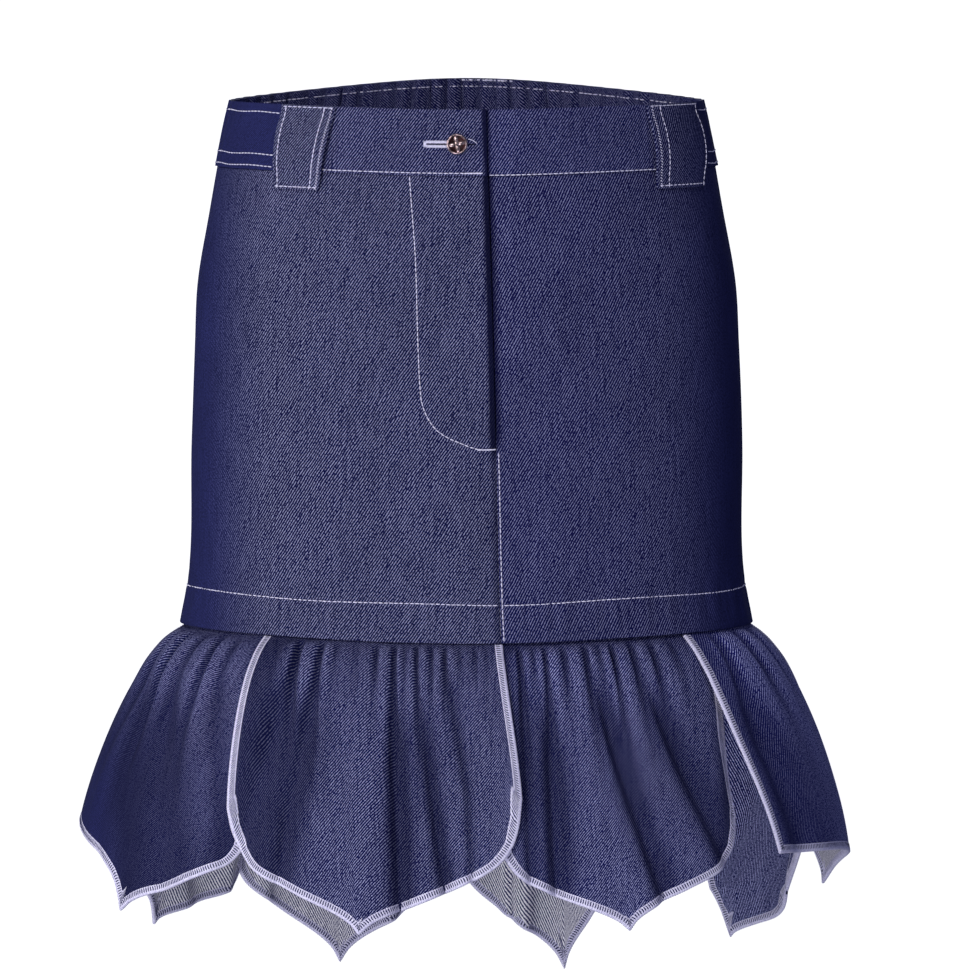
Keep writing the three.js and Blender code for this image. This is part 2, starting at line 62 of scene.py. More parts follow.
band = {
    "height": 41, "face": 1.5, "wall": 2.5, "rightJoin": -58, "leftJoin": 61.4, "underlapStart": -10,
    "underlapRise": (0.8, 11), "uneven": 0.12, "stitchDrop": 39.5, "stitchWidth": 2.2,
    "stitchPull": (0.3, 0.15), "pullTurns": 2.3, "unevenTurns": (0.4, 0.08),
}
underlapFace = band["face"] - band["wall"] - cloth["gap"]

elastic = {
    "period": 5.45, "depth": 1.5, "from": 66, "full": 112, "fade": 38, "unevenTurns": (0.21, 0.83),
    "uneven": (0.75, 0.25, 0.2), "unevenDown": 0.05, "second": 0.22, "secondTurns": 2.3, "secondDown": 0.06,
}

fly = {
    "edge": 7.04, "edgeAtHem": 9.9, "end": 211, "shieldStart": -12, "shieldPast": 0.6, "shieldRoll": 2.3,
    "recess": 2.2, "recessWidth": 9, "calmWidth": 8, "roll": 0.9, "rollWidth": 1.9, "raise": 0.35,
    "groove": 0.22, "gap": 0.03, "endFade": 20,
}

body = {"drop": 328, "hemStitch": 304.5, "hemRise": 0.45, "hemPull": 0.35, "uneven": 0.5}

sections = {
    "drop": [0, 15, 40, 67, 113, 151, 218, 275, 308, 328],
    "half": [147.5, 151, 156, 161, 169, 171, 173.4, 173.4, 176, 180],
    "front": [101, 103, 106, 109, 113, 116, 119, 120, 122, 125],
    "back": [107, 110, 115, 121, 130, 134, 135, 130, 128, 130],
    "square": [2.25, 2.25, 2.25, 2.3, 2.35, 2.4, 2.4, 2.4, 2.35, 2.3],
}
tilts = {"drop": [0, 328], "front": [-3.7, -6], "back": [11.8, -5]}
flares = {
    "drop": [-6, 0, 2, 6, 12, 26, 50, 80, 112, 143, 180, 260],
    "out": [-2.3, -2.3, 0, 6, 13, 24.5, 37.5, 49.5, 58.5, 64, 68, 74],
}
swings = {
    "at": [-180, -130, -92, -52.5, 10, 57, 78, 98, 120, 142, 180],
    "turn": [0, 0, -3, 1, 3.7, 6.5, 14, 20, 12, 6, 0],
}

# Gathers of the front half: where, how deep and how far down
frontGathers = [
    (-87, 1.5, 50), (-79.8, 2.4, 90), (-73.9, 2.8, 120), (-68.5, 1.6, 50), (-62.9, 2.5, 90),
    (-58.5, 1.5, 40), (-53, 1.4, 50), (-48, 0.9, 40), (-43.1, 2.9, 90), (-37.8, 2.6, 70), (-34.2, 1.3, 26),
    (-29.4, 0.8, 30), (-24.5, 2.1, 38), (-19.8, 2.9, 130), (-17, 1.3, 24), (-14.1, 2.7, 80), (-9.8, 1.8, 42),
    (-6.3, 2.5, 40),
    (-2, 1.2, 20), (2.6, 1.3, 30), (5.6, 1.2, 40), (10.1, 1.5, 50), (14.8, 2.2, 70), (18.4, 1.1, 24),
    (21.2, 2.4, 90), (26.2, 2.1, 40), (31.7, 2.5, 70), (35, 1.2, 26), (37.9, 2.7, 80), (42.7, 2.3, 60),
    (47.3, 2.2, 60), (52.4, 1.2, 36), (57.4, 1.6, 50), (63, 2, 50), (71.2, 2.4, 60), (78, 1.8, 50),
    (84.5, 1.6, 50),
]
# Broad folds of the front half: where at the seam and lower down, how deep and wide, from and to which drop
frontFolds = [
    (-79, -71, 6, 4, 8, 110), (-70, -62, 9, 4.5, 6, 180), (-60, -55, 3, 2.2, 6, 90),
    (-43, -52, 11, 4.6, 6, 150), (-37.8, -43, 6, 2.4, 6, 130), (-19.8, -19.2, 10, 2.9, 2, 200),
    (-14, -8.5, 6.5, 2.3, 8, 150), (-6.3, -2.5, 3.5, 1.8, 4, 70), (14.8, 13.5, 5, 2.2, 4, 110),
    (21.2, 18.6, 9, 3.2, 6, 190), (31.7, 38.5, 8, 2.6, 4, 130), (42.7, 51, 7, 2.8, 6, 130),
    (62.5, 63.5, 10, 4, 4, 170),
]

# painted light and shade: tone and blue give each petal a lighter or darker, bluer copy of the denim, set to
# the light that falls on it; fade sets where the painted side shade begins and is full; shaded gives the
# inside a painted-shade finish
petals = {
    "petal_side_right": dict(span=(-94, -49.5), low=(-94, -49.5), tip=-69, long=173, side=(0.72, 0.6),
                             bend=(6.4, 1), layer=1, tone=1.0, blue=1.3, fade=(0.18, 0.232)),
    "petal_front_right": dict(span=(-52.5, 10.2), low=(-52.5, 12.2), tip=-28.4, long=178, side=(0.58, 0.53),
                              bend=(1, 1), layer=0, tone=1.03, blue=1.15),
    "petal_front_left": dict(span=(6.5, 60), low=(5, 55.2), tip=32.7, long=177.5, side=(0.6, 0.62),
                             bend=(1, 1.1), layer=1, tone=1.16, blue=1.2, curl=6),
    "petal_side_left": dict(span=(56.3, 87), low=(58.2, 94), tip=86.5, long=173, side=(0.79, 0.62),
                            bend=(4.9, 1.2), layer=0, tone=1.85, blue=1.3, stand=5, fade=(0.24, 0.32)),
    "petal_back_outer_left": dict(span=(85.5, 139), low=(90, 137), tip=100, long=211, side=(0.86, 0.5),
                                  bend=(1, 2.4), layer=1, tone=0.9, shaded=True),
    "petal_back_left": dict(span=(136, 187), low=(135, 186), tip=150.8, long=233, side=(0.6, 0.56),
                            bend=(1.2, 1.2), layer=0, tone=0.9),
    "petal_back_right": dict(span=(184, 233), low=(183, 232), tip=209.8, long=228.5, side=(0.58, 0.58),
                             bend=(1.1, 1.1), layer=1, tone=0.9),
    "petal_back_outer_right": dict(span=(230, 269), low=(230, 263), tip=247, long=200, side=(0.82, 0.6),
                                   bend=(1.2, 2), layer=2, tone=0.9),
}
flounce = {
    "frontFlare": 0.6, "lean": 0.12, "swingDrop": 150, "swingMost": 1.2, "petalSpace": 3,
    "flatBorder": 3.2, "flatShare": 0.9, "columns": 116, "sideColumns": 0.45, "rows": 64, "topRows": 1.35,
    # fade: where the painted side shade begins and is full; threadsLeft: the share of light threads left in
    # the painted shade
    "insideSeam": (-0.034, -0.012), "twillAngle": 47, "twillPitch": 1.35, "fade": (0.2, 0.24),
    "threadsLeft": 0.4,
}
gatherForm = {
    "usual": 1.9, "growth": 1.7, "depth": 2.0, "fade": 1.6, "fadePower": 1.5, "low": 0.7, "rise": 1.7,
    "round": 1.4, "pinch": 2.2, "pinchFade": 40, "start": (0.5, 7),
}
foldForm = {
    "drift": 1.3, "narrow": 0.55, "widenBy": 0.5, "gentle": 0.75, "steep": 1.5, "fullAt": 0.4, "peak": 1.5,
}
puckers = {
    "depth": 0.35, "turns": 2.9, "wander": 1.3, "wanderTurns": 0.61, "second": [(1.37, 0, 0.8)],
    "start": (0, 4), "fade": 22, "slowDepth": 1.1, "slow": [(0.31, 0.035, 0), (0.17, -0.021, 1.1)],
    "slowStart": (15, 90),
}
petalForm = {
    "layered": (2, 40), "curlFrom": (0.9, 1), "curlPower": 1.3, "curlDown": (10, 90), "standDown": (30, 140),
}
# painted shadow on the petals: under the body's hem at the seam, beside the edge of the petal over this one,
# where it curls, and deeper in the gathers near the seam
petalShade = {
    "curlFrom": (0.8, 1), "curlDown": (30, 100), "curl": 0.5, "gathers": 1.6, "seam": 3.6, "seamFade": 40,
    "beside": 5, "besideWidth": 0.17, "besideFade": 110,
}
petalEdge = {
    "across": [0, 0.03, 0.08, 0.2, 0.5, 0.8, 0.93, 1],
    "fall": [0, 0.19, 0.35, 0.51, 0.68, 0.83, 0.915, 1],
}


def sample(table, key, at, column):  # a smooth curve through a table's rows
    x, y = np.array(table[key], float), np.array(table[column], float)
    at = np.clip(np.asarray(at, float), x[0], x[-1])
    i = np.clip(np.searchsorted(x, at) - 1, 0, len(x) - 2)
    before, after = np.maximum(i - 1, 0), np.minimum(i + 2, len(x) - 1)
    span, rise = x[i + 1] - x[i], y[i + 1] - y[i]
    t = (at - x[i]) / span
    start = (y[i + 1] - y[before]) / (x[i + 1] - x[before]) * span
    end = (y[after] - y[i]) / (x[after] - x[i]) * span
    return y[i] + t * (start + t * (3 * rise - 2 * start - end + t * (start + end - 2 * rise)))


def ease(low, high, at):
    t = np.clip((np.asarray(at, float) - low) / (high - low), 0, 1)
    return t * t * (3 - 2 * t)


def wrapped(angle):
    return (np.asarray(angle, float) + 180) % 360 - 180


def unit(v):
    return v / np.linalg.norm(v, axis=-1, keepdims=True)


def dot(first, second):
    return (first * second).sum(-1)


def runLength(points, axis=0):  # how far each point is along its line
    steps = np.diff(points, axis=axis, prepend=points.take([0], axis))
    return np.cumsum(np.linalg.norm(steps, axis=-1), axis=axis)


def bodySurface(angle, drop):
    angle, drop = np.broadcast_arrays(np.asarray(angle, float), np.asarray(drop, float))
    turn = np.radians(angle)
    s, c = np.sin(turn), np.cos(turn)

    def facing(table):
        return np.where(c > 0, sample(table, "drop", drop, "front"), sample(table, "drop", drop, "back"))

    square = sample(sections, "drop", drop, "square")
    across = np.abs(s / sample(sections, "drop", drop, "half")) ** square
    along = np.abs(c / facing(sections)) ** square
    radius = (across + along) ** (-1 / square)
    return np.stack([radius * s, -radius * c, facing(tilts) * c ** 2 - drop], axis=-1)


def levelNormal(angle, drop):
    along = bodySurface(np.asarray(angle) + 0.01, drop) - bodySurface(np.asarray(angle) - 0.01, drop)
    return unit(np.stack([along[..., 1], -along[..., 0], np.zeros_like(along[..., 0])], axis=-1))


def bodyPoint(angle, drop, out):
    return bodySurface(angle, drop) + levelNormal(angle, drop) * np.asarray(out, float)[..., None]


def degreesFor(distance, angle, drop):
    return distance / np.linalg.norm(bodySurface(angle + 0.5, drop) - bodySurface(angle - 0.5, drop), axis=-1)


def allRound(rows, turned):  # the front rows and their mirror image on the back, in order
    back = [tuple(float(wrapped(180 - v)) if i in turned else v for i, v in enumerate(row)) for row in rows]
    return np.array(sorted([*rows, *back]), float)


gathers = allRound(frontGathers, (0,))
folds = allRound(frontFolds, (0, 1))
ordered = list(petals.values())
borders = [row["span"][0] + wrapped(ordered[i - 1]["span"][1] - row["span"][0]) / 2
           for i, row in enumerate(ordered)]


def flattened(angle):  # the cloth lies flatter where one petal passes over the next
    share = 1
    for border in borders:
        away = wrapped(angle - border) / flounce["flatBorder"]
        share = share * (1 - flounce["flatShare"] * np.exp(-away ** 2))
    return share


def waver(rows, angle, drop=0):  # sines multiplied together, so that they don't seem to repeat
    value = 1
    for turns, falls, start in rows:
        value = value * np.sin(angle * turns + drop * falls + start)
    return value


def gatherDepth(i, drop):
    fall = (np.maximum(drop, 0) / gathers[i, 2]) ** gatherForm["fadePower"]
    size = (gathers[i, 1] / gatherForm["usual"]) ** gatherForm["growth"] * gatherForm["depth"]
    return size * np.exp(-gatherForm["fade"] * fall)


def gatherWave(angle, drop):  # pinched at the seam, soft further down
    at = wrapped(angle)
    right = np.searchsorted(gathers[:, 0], at, side="right") % len(gathers)
    left = right - 1
    span = (gathers[right, 0] - gathers[left, 0]) % 360
    t = ((at - gathers[left, 0]) % 360) / span
    swell = (1 + np.cos(2 * np.pi * t)) / 2
    pinch = gatherForm["round"] + gatherForm["pinch"] * np.exp(-drop / gatherForm["pinchFade"])
    shape = gatherForm["low"] - gatherForm["rise"] * swell ** pinch
    depth = gatherDepth(left, drop) * (1 - t) + gatherDepth(right, drop) * t
    return flattened(at) * ease(*gatherForm["start"], drop) * depth * shape


def foldWave(angle, drop):  # one flank of each fold is steeper than the other
    total = 0
    for at, low, deep, wide, start, end in folds:
        t = (drop - start) / (end - start)
        middle = at + wrapped(low - at) * np.clip(t, 0, foldForm["drift"])
        opened = foldForm["narrow"] + (1 - foldForm["narrow"]) * ease(0, foldForm["widenBy"], t)
        away = wrapped(angle - middle) / (wide * opened)
        away = away * np.where(away > 0, foldForm["gentle"], foldForm["steep"])
        total = total - deep * ease(0, foldForm["fullAt"], t) * (1 / (1 + away ** 2)) ** foldForm["peak"]
    return total


def ripple(angle, drop):  # small uneven puckers at the seam and a slow unevenness below
    wander = puckers["wander"] * np.sin(angle * puckers["wanderTurns"])
    fine = np.sin(angle * puckers["turns"] + wander) * waver(puckers["second"], angle)
    fine = puckers["depth"] * fine * ease(*puckers["start"], drop) * np.exp(-drop / puckers["fade"])
    slow = puckers["slowDepth"] * waver(puckers["slow"], angle, drop) * ease(*puckers["slowStart"], drop)
    return (fine + slow) * flattened(wrapped(angle))


def flouncePoint(angle, drop, out, calm=False):
    at = wrapped(angle)
    swing = np.clip(drop / flounce["swingDrop"], 0, flounce["swingMost"])
    turned = angle + sample(swings, "at", at, "turn") * swing
    normal = levelNormal(turned, body["drop"])
    side = np.sin(np.radians(turned))
    front = flounce["frontFlare"]
    share = (front + (1 - front) * side ** 2) * (1 - flounce["lean"] * side)

    def standing(d):
        off = sample(flares, "drop", d, "out")
        return np.where(off > 0, off * share, off)

    slope = np.where(drop > 0, (standing(drop + 1) - standing(drop - 1)) / 2, 0)
    lean = unit(normal + np.stack([0 * slope, 0 * slope, slope], axis=-1))
    point = bodyPoint(turned, body["drop"] + np.minimum(drop, 0), standing(drop))
    point[..., 2] -= np.maximum(drop, 0)
    wave = 0 * slope if calm else gatherWave(angle, drop) + foldWave(angle, drop) + ripple(angle, drop)
    return point + lean * (out + wave)[..., None]


def petalReach(row, share):
    tip = (row["tip"] - row["low"][0]) / (row["low"][1] - row["low"][0])
    before = share < tip
    across = np.clip(np.where(before, share / tip, (1 - share) / (1 - tip)), 0, 1)
    side = np.where(before, *row["side"])
    fall = sample(petalEdge, "across", across, "fall") ** np.where(before, *row["bend"])
    return row["long"] * (side + (1 - side) * fall)


def petalPlace(row, share, part):  # part is the share of the way down, and less than 0 inside the seam
    share, part = np.broadcast_arrays(np.asarray(share, float), np.asarray(part, float))
    down = part * petalReach(row, share)
    narrowing = ease(0, 1, part)
    (start, end), (lowStart, lowEnd) = row["span"], row["low"]
    left, right = start + (lowStart - start) * narrowing, end + (lowEnd - end) * narrowing
    under = row["layer"] * (layerStep + flounce["petalSpace"] * ease(*petalForm["layered"], down))
    curl = row.get("curl", 0) * ease(*petalForm["curlFrom"], share) ** petalForm["curlPower"]
    curl = curl * ease(*petalForm["curlDown"], down)
    stand = row.get("stand", 0) * ease(*petalForm["standDown"], down)
    return left + (right - left) * share, down, stand - under - curl


def petalPoint(row, share, part, calm=False):
    return flouncePoint(*petalPlace(row, share, part), calm)


def petalPaintedShade(row, share, part):  # how far in or out the gathers and folds bring the cloth, in millimetres, plus painted shadow under the seam, beside the petal over it and where it curls; it sets the painted shade
    angle, down, _ = petalPlace(row, share, part)
    shade = petalShade
    curl = row.get("curl", 0) * ease(*shade["curlFrom"], share) * ease(*shade["curlDown"], down)
    seam = np.exp(-np.maximum(down, 0) / shade["seamFade"])
    beside = np.exp(-(share / shade["besideWidth"]) ** 2) * np.exp(-np.maximum(down, 0) / shade["besideFade"])
    gathered = gatherWave(angle, down) * (1 + shade["gathers"] * seam)
    # painted shadow under the seam, beside the petal over this one and in the curl
    paintedShadow = curl * shade["curl"] + shade["seam"] * seam + shade["beside"] * beside
    return gathered + foldWave(angle, down) - paintedShadow


def elasticWave(angle, drop):
    strength = elastic["depth"] * ease(elastic["from"], elastic["full"], np.abs(wrapped(angle)))
    base, first, second = elastic["uneven"]
    slowTurns, quickTurns = elastic["unevenTurns"]
    slow, quick = np.sin(angle * slowTurns), np.sin(angle * quickTurns + drop * elastic["unevenDown"])
    uneven = base + first * slow + second * quick
    fade = np.exp(-np.maximum(drop - band["height"], 0) / elastic["fade"])
    turn = (angle - band["leftJoin"]) / elastic["period"] * 2 * np.pi
    small = elastic["second"] * np.cos(elastic["secondTurns"] * turn + drop * elastic["secondDown"])
    return strength * uneven * fade * (np.cos(turn) + small)


def placketAt(drop):
    return fly["edge"] + (fly["edgeAtHem"] - fly["edge"]) * drop / body["drop"]


# The curved row of stitches that holds the fly
flyRow = {
    "drop": [41.5, 91, 144, 177, 187, 196.5, 202, 205, 207.5, 209],
    "angle": [-18.6, -16, -14.6, -13.5, -12.1, -9.1, -5.2, -1.65, 1.4, 4],
    "groove": 2.2, "grooveFade": (190, 205), "raisedFade": (200, 211), "raisedFrom": (0, 0.8),
    "perDegree": 2.1,
}
worn = {  # how the body's cloth waves, and how the hem's stitches pull it
    "slow": [(0.09, 0.017, 0), (0.21, -0.011, 0.7)], "from": (45, 100), "stitchWidth": 3.2,
    "pull": (0.3, 0.28), "pulls": [(1.31, 0, 0), (3.7, 0, 0.4)], "hemFrom": (290, 306), "hemTo": (318, 328),
    "hemTurns": 0.97, "hemWander": (0.6, 0.5), "hemRise": (-1, 3),
}
placketShade = {  # painted shade by the placket: in degrees from the edge, and how deep the cloth there seems to lie
    "panel": 2.2, "band": 1.7, "under": 2.6, "bandUnder": 1.9, "deep": 9, "steep": 2, "sharp": 0.45,
    "below": 0.75, "fadeUnder": (-12, 4), "fadeOver": (-12, 8),
}


def unevenCloth(angle, drop):  # slow waves of worn cloth and the pull of the hem's stitches
    stitched = np.exp(-((drop - body["hemStitch"]) / worn["stitchWidth"]) ** 2)
    base, more = worn["pull"]
    pull = stitched * (base + more * waver(worn["pulls"], angle))
    above, below = worn["hemRise"]
    rise = body["hemRise"] * ease(body["hemStitch"] + above, body["hemStitch"] + below, drop)
    wander, turns = worn["hemWander"]
    hem = np.sin(angle * worn["hemTurns"] + wander * np.sin(angle * turns))
    hem = body["hemPull"] * hem * ease(*worn["hemFrom"], drop) * (1 - ease(*worn["hemTo"], drop))
    return body["uneven"] * waver(worn["slow"], angle, drop) * ease(*worn["from"], drop) + rise - pull + hem


def turnedEdge(angle, drop):  # how far the folded edge of the placket rolls in
    return fly["roll"] * (1 - ease(0, fly["rollWidth"], placketAt(drop) - angle))


def rightPanelFace(angle, drop):
    row = sample(flyRow, "drop", drop, "angle")
    inFly = ease(*flyRow["raisedFrom"], angle - row) * (1 - ease(*flyRow["raisedFade"], drop))
    away = (angle - row) * flyRow["perDegree"] / flyRow["groove"]  # in groove widths
    groove = fly["groove"] * np.exp(-away ** 2) * (1 - ease(*flyRow["grooveFade"], drop))
    uneven = unevenCloth(angle, drop) * ease(0, fly["calmWidth"], placketAt(drop) - angle)
    return uneven + fly["raise"] * inFly - groove - turnedEdge(angle, drop)


def leftPanelFace(angle, drop):
    past = angle - placketAt(drop)
    recess = fly["recess"] * (1 - ease(0, fly["recessWidth"], past))
    fade = 1 - ease(fly["end"] - fly["endFade"], fly["end"] + fly["endFade"], drop)
    return unevenCloth(angle, drop) * ease(0, fly["calmWidth"], past) - recess * fade


def besidePlacket(angle, drop, width):  # painted shade: how deep the cloth looks in the shadow of the folded edge
    start, end = placketShade["fadeUnder"]
    shade = 1 - ease(0, width, angle - placketAt(drop))
    return -width * placketShade["steep"] * shade * (1 - ease(fly["end"] + start, fly["end"] + end, drop))


def turnedUnder(angle, drop, width):  # painted shade, the same on the folded edge, where it rolls away from the light
    start, end = placketShade["fadeOver"]
    shade = 1 - ease(width * placketShade["sharp"], width, placketAt(drop) - angle)
    lower = 1 - placketShade["below"] * ease(fly["end"] + start, fly["end"] + end, drop)
    return -placketShade["deep"] * shade * lower


def backPanelFace(angle, drop):
    return elasticWave(angle, drop) + unevenCloth(angle, drop)


def bandUneven(angle, drop):
    stitched = np.exp(-((drop - band["stitchDrop"]) / band["stitchWidth"]) ** 2)
    base, more = band["stitchPull"]
    turns, falls = band["unevenTurns"]
    pull = stitched * (base + more * np.sin(angle * band["pullTurns"]))
    return band["uneven"] * np.sin(angle * turns + drop * falls) - pull


def rightBandFace(angle, drop):
    return band["face"] + bandUneven(angle, drop)


def leftBandFace(angle, drop):  # the underlap comes up to the face beside the placket
    near, far = band["underlapRise"]
    raised = ease(fly["edge"] + near, fly["edge"] + far, angle)
    return underlapFace + (band["face"] - underlapFace) * raised + bandUneven(angle, drop)


def backBandFace(angle, drop):
    return band["face"] + elasticWave(angle, drop)


def maths(operation, turned=False):  # a method that adds a maths node; turned, the wire comes last
    return lambda self, *other: self.calc(operation, *((*other, self) if turned else (self, *other)))


class Wire:  # a shader socket that can be added, taken away, multiplied and divided
    def __init__(self, tree, socket):
        self.tree, self.socket = tree, socket

    def calc(self, operation, *values):
        return self.tree.add("ShaderNodeMath", {"operation": operation}, dict(enumerate(values)))

    __add__ = __radd__ = maths("ADD")
    __sub__, __rsub__ = maths("SUBTRACT"), maths("SUBTRACT", True)
    __mul__ = __rmul__ = maths("MULTIPLY")
    __truediv__ = maths("DIVIDE")
    sine, size = maths("SINE"), maths("ABSOLUTE")


class Finish:  # a material and its nodes
    def __init__(self, name):
        self.material = bpy.data.materials.new(name)
        self.material.use_nodes = True
        self.nodes, self.links = self.material.node_tree.nodes, self.material.node_tree.links
        self.shader = self.nodes["Principled BSDF"]

    def add(self, kind, settings=None, inputs=None, output=0):
        node = self.nodes.new(kind)
        for name, value in (settings or {}).items():
            setattr(node, name, value)
        for name, value in (inputs or {}).items():
            self.put(node.inputs[name], value)
        return Wire(self, node.outputs[output])

    def put(self, socket, value):
        if isinstance(value, Wire):
            self.links.new(value.socket, socket)
        else:
            socket.default_value = value

    def set(self, **inputs):
        for name, value in inputs.items():
            self.put(self.shader.inputs[name.replace("_", " ")], value)
        return self.material

    def noise(self, vector, scale=1.0, detail=2.0):
        return self.add("ShaderNodeTexNoise", {}, {"Vector": vector, "Scale": scale, "Detail": detail})

    def vector(self, x, y, z=0.0):
        return self.add("ShaderNodeCombineXYZ", {}, {"X": x, "Y": y, "Z": z})

    def between(self, value, low, high):
        return self.add("ShaderNodeMapRange", {"interpolation_type": "SMOOTHSTEP"},
                        {"Value": value, "From Min": low, "From Max": high})

    def mix(self, factor, first, second, blend="MIX"):
        return self.add("ShaderNodeMix", {"data_type": "RGBA", "blend_type": blend},
                        {0: factor, 6: first, 7: second}, 2)

    def bump(self, height, strength, depth):
        return self.add("ShaderNodeBump", {}, {"Height": height, "Strength": strength, "Distance": depth})

    def place(self):  # metres in the part's own frame
        return self.add("ShaderNodeTexCoord", {}, {}, 3)

    def clothPlace(self):  # millimetres across and down the flat cloth
        place = self.nodes.new("ShaderNodeUVMap")
        place.uv_map = "cloth"
        parts = self.nodes.new("ShaderNodeSeparateXYZ")
        self.links.new(place.outputs[0], parts.inputs[0])
        return Wire(self, parts.outputs[0]) * 1000, Wire(self, parts.outputs[1]) * 1000


# deep is the plainer blue painted towards the sides as shade, and fade says where it begins and is full; the
# shade map's depth darkens the cloth as painted shade
denim = {
    "pitch": 1.5, "dark": (0.0036, 0.0052, 0.05), "light": (0.315, 0.325, 0.505),
    "deep": (0.0118, 0.0138, 0.062), "roughness": 0.9, "cover": (0.665, 0.95), "relief": 0.0002,
    "fade": (0.118, 0.166), "foldDepth": (-6.5, 0.6), "wrongDark": (0.038, 0.038, 0.125),
    "wrongLight": (1.0, 0.97, 1.0), "wrongCover": (0.39, 0.64), "wander": 1.2, "sideShadeThread": 2.4,
    "bends": (0.05, 0.05), "flecks": (1.1, 0.8), "slubs": (0.85, 0.035), "clouds": (0.022, 0.016),
    "raised": (0.85, 1.25, 0.4, 0.1), "shade": (0.5, 0.25, 0.62), "foldShade": (0.52, 0.4), "worn": 0.08,
    "height": (0.7, 0.5), "strength": 0.55, "shine": 0.1,
}


# fade sets where the painted side shade begins and is full; folded is the share of light threads left in the
# painted shade of folds, creases and shadows
def denimFinish(name, tone, angle, wrong=False, pitch=None, fade=None, blue=1.0, folded=0):
    made = Finish(f"denim_{name}")

    def noise(x, y, scales, detail=2.0):
        return made.noise(made.vector(x * scales[0], y * scales[1]), 1.0, detail)

    u, v = made.clothPlace()
    s, c = math.sin(math.radians(angle)), math.cos(math.radians(angle))
    line = (u * s + v * c) / (pitch or denim["pitch"]) + noise(u, v, denim["bends"]) * denim["wander"]
    wale = (line * (2 * math.pi)).sine() * 0.5 + 0.5
    fleck = noise(line, u * c - v * s, denim["flecks"])
    slub = noise(u, v, denim["slubs"])
    waleShare, fleckShare, slubShare, lift = denim["raised"]
    raised = wale * waleShare + (fleck - 0.5) * fleckShare + (slub - 0.5) * slubShare + lift
    mask = made.between(raised, *denim["wrongCover" if wrong else "cover"])
    darkTone, lightTone = (tone, tone, tone * blue), (tone, tone, tone * blue ** 0.3)
    dark = [x * y for x, y in zip(denim["wrongDark" if wrong else "dark"], darkTone)]
    light = [x * y for x, y in zip(denim["wrongLight" if wrong else "light"], lightTone)]
    cloudShare, slubShare, base = denim["shade"]
    shade = noise(u, v, denim["clouds"], 3.0) * cloudShare + slub * slubShare + base
    if folded:  # painted shade: the cloth is painted darker and plainer where the shade map lies deep, in its folds, creases and shadows
        place = made.add("ShaderNodeUVMap", {"uv_map": "fold"})
        unshaded = made.between(made.add("ShaderNodeSeparateXYZ", {}, {0: place}) * 1000, *denim["foldDepth"])
        mask = mask * (unshaded * (1 - folded) + folded)
        most, kept = denim["foldShade"]
        shade = shade * (unshaded * (most - kept * folded) + (1 - most + kept * folded))
    if wrong:
        color = made.mix(mask, (*dark, 1), (*light, 1))
    else:  # painted shade: the cloth is painted a deeper, plainer blue towards the sides, where the light falls off
        x = made.add("ShaderNodeSeparateXYZ", {}, {0: made.place()})
        sideShade = made.between(x.size(), *(fade or denim["fade"]))
        pale = made.mix(sideShade, (*light, 1), (*[y * denim["sideShadeThread"] for y in denim["deep"]], 1))
        deep = made.mix(sideShade, (*dark, 1), (*denim["deep"], 1))
        color = made.mix(mask, deep, pale)
    color = made.mix(1.0, color, made.vector(shade, shade, shade), "MULTIPLY")
    waleHeight, fleckHeight = denim["height"]
    bump = made.bump(wale * waleHeight + fleck * fleckHeight, denim["strength"], denim["relief"])
    return made.set(Base_Color=color, Roughness=denim["roughness"] - mask * denim["worn"], Normal=bump,
                    Specular_IOR_Level=denim["shine"])


threadLook = {"dark": (0.5, 0.47, 0.68, 1), "light": (0.86, 0.84, 0.98, 1), "fibres": 2600, "roughness": 0.62}


def threadFinish():
    made = Finish("white_thread")
    fibre = made.noise(made.place(), threadLook["fibres"])
    color = made.mix(made.between(fibre, 0.3, 0.7), threadLook["dark"], threadLook["light"])
    return made.set(Base_Color=color, Roughness=threadLook["roughness"], Normal=made.bump(fibre, 0.5, 0.0001),
                    Specular_IOR_Level=0.3, Sheen_Weight=0.1)


overlock = {
    "wide": 5.0, "pitch": 1.6, "proud": 0.45, "step": 0.42, "rim": (1.0, 1.9), "needleAt": 4.5,
    "needle": (0.15, 0.45), "cover": (0.3, 0.66), "between": (0.03, 0.033, 0.09, 1),
    "dark": (0.5, 0.47, 0.7, 1), "light": (0.9, 0.88, 1.0, 1), "roughness": 0.7,
    "section": [(1, -0.15), (0.86, 0.6), (0.6, 0.75), (0.3, 0.95), (0.02, 0.8)],  # how far in, how proud
    "ridge": (0.7, 0.3), "wrap": 0.5, "smooth": (8, 3), "probe": 1e-3,
}


def overlockFinish():  # cross threads with the denim dark between them, close together at the rim
    made = Finish("overlocked_edge")
    u, v = made.clothPlace()  # along the edge, and in from it
    wander = made.noise(made.vector(u * 0.11, v * 0.4))
    cross = ((u / overlock["pitch"] + v * 0.05 + wander * 0.6) * (2 * math.pi)).sine() * 0.5 + 0.5
    rim = 1 - made.between(v.size(), *overlock["rim"])
    needle = 1 - made.between((v.size() - overlock["needleAt"]).size(), *overlock["needle"])
    cover = made.between(cross + rim * 0.7 + needle * 0.5, *overlock["cover"])
    fibre = made.noise(made.vector(u * 2.2, v * 0.8))
    white = made.mix(made.between(fibre, 0.3, 0.75), overlock["dark"], overlock["light"])
    return made.set(Base_Color=made.mix(cover, overlock["between"], white), Roughness=overlock["roughness"],
                    Normal=made.bump(cross + fibre * 0.4, 0.6, 0.0003), Specular_IOR_Level=0.25)


def metalFinish(name, color, roughness, metallic=0.95):
    made = Finish(name)
    place = made.place()
    grain = made.noise(place, 900, 3.0)
    worn = made.between(made.noise(place, 430), 0.43, 0.6)
    tint = made.mix(worn, (*[x * 0.3 for x in color], 1), (*color, 1))
    return made.set(Base_Color=tint, Roughness=grain * 0.2 + (roughness - 0.1), Metallic=metallic,
                    Normal=made.bump(grain, 0.25, 0.0001))


thread = threadFinish()
overlockThread = overlockFinish()
wrongSide = denimFinish("wrong_side", 0.95, 60, True, 1.75)
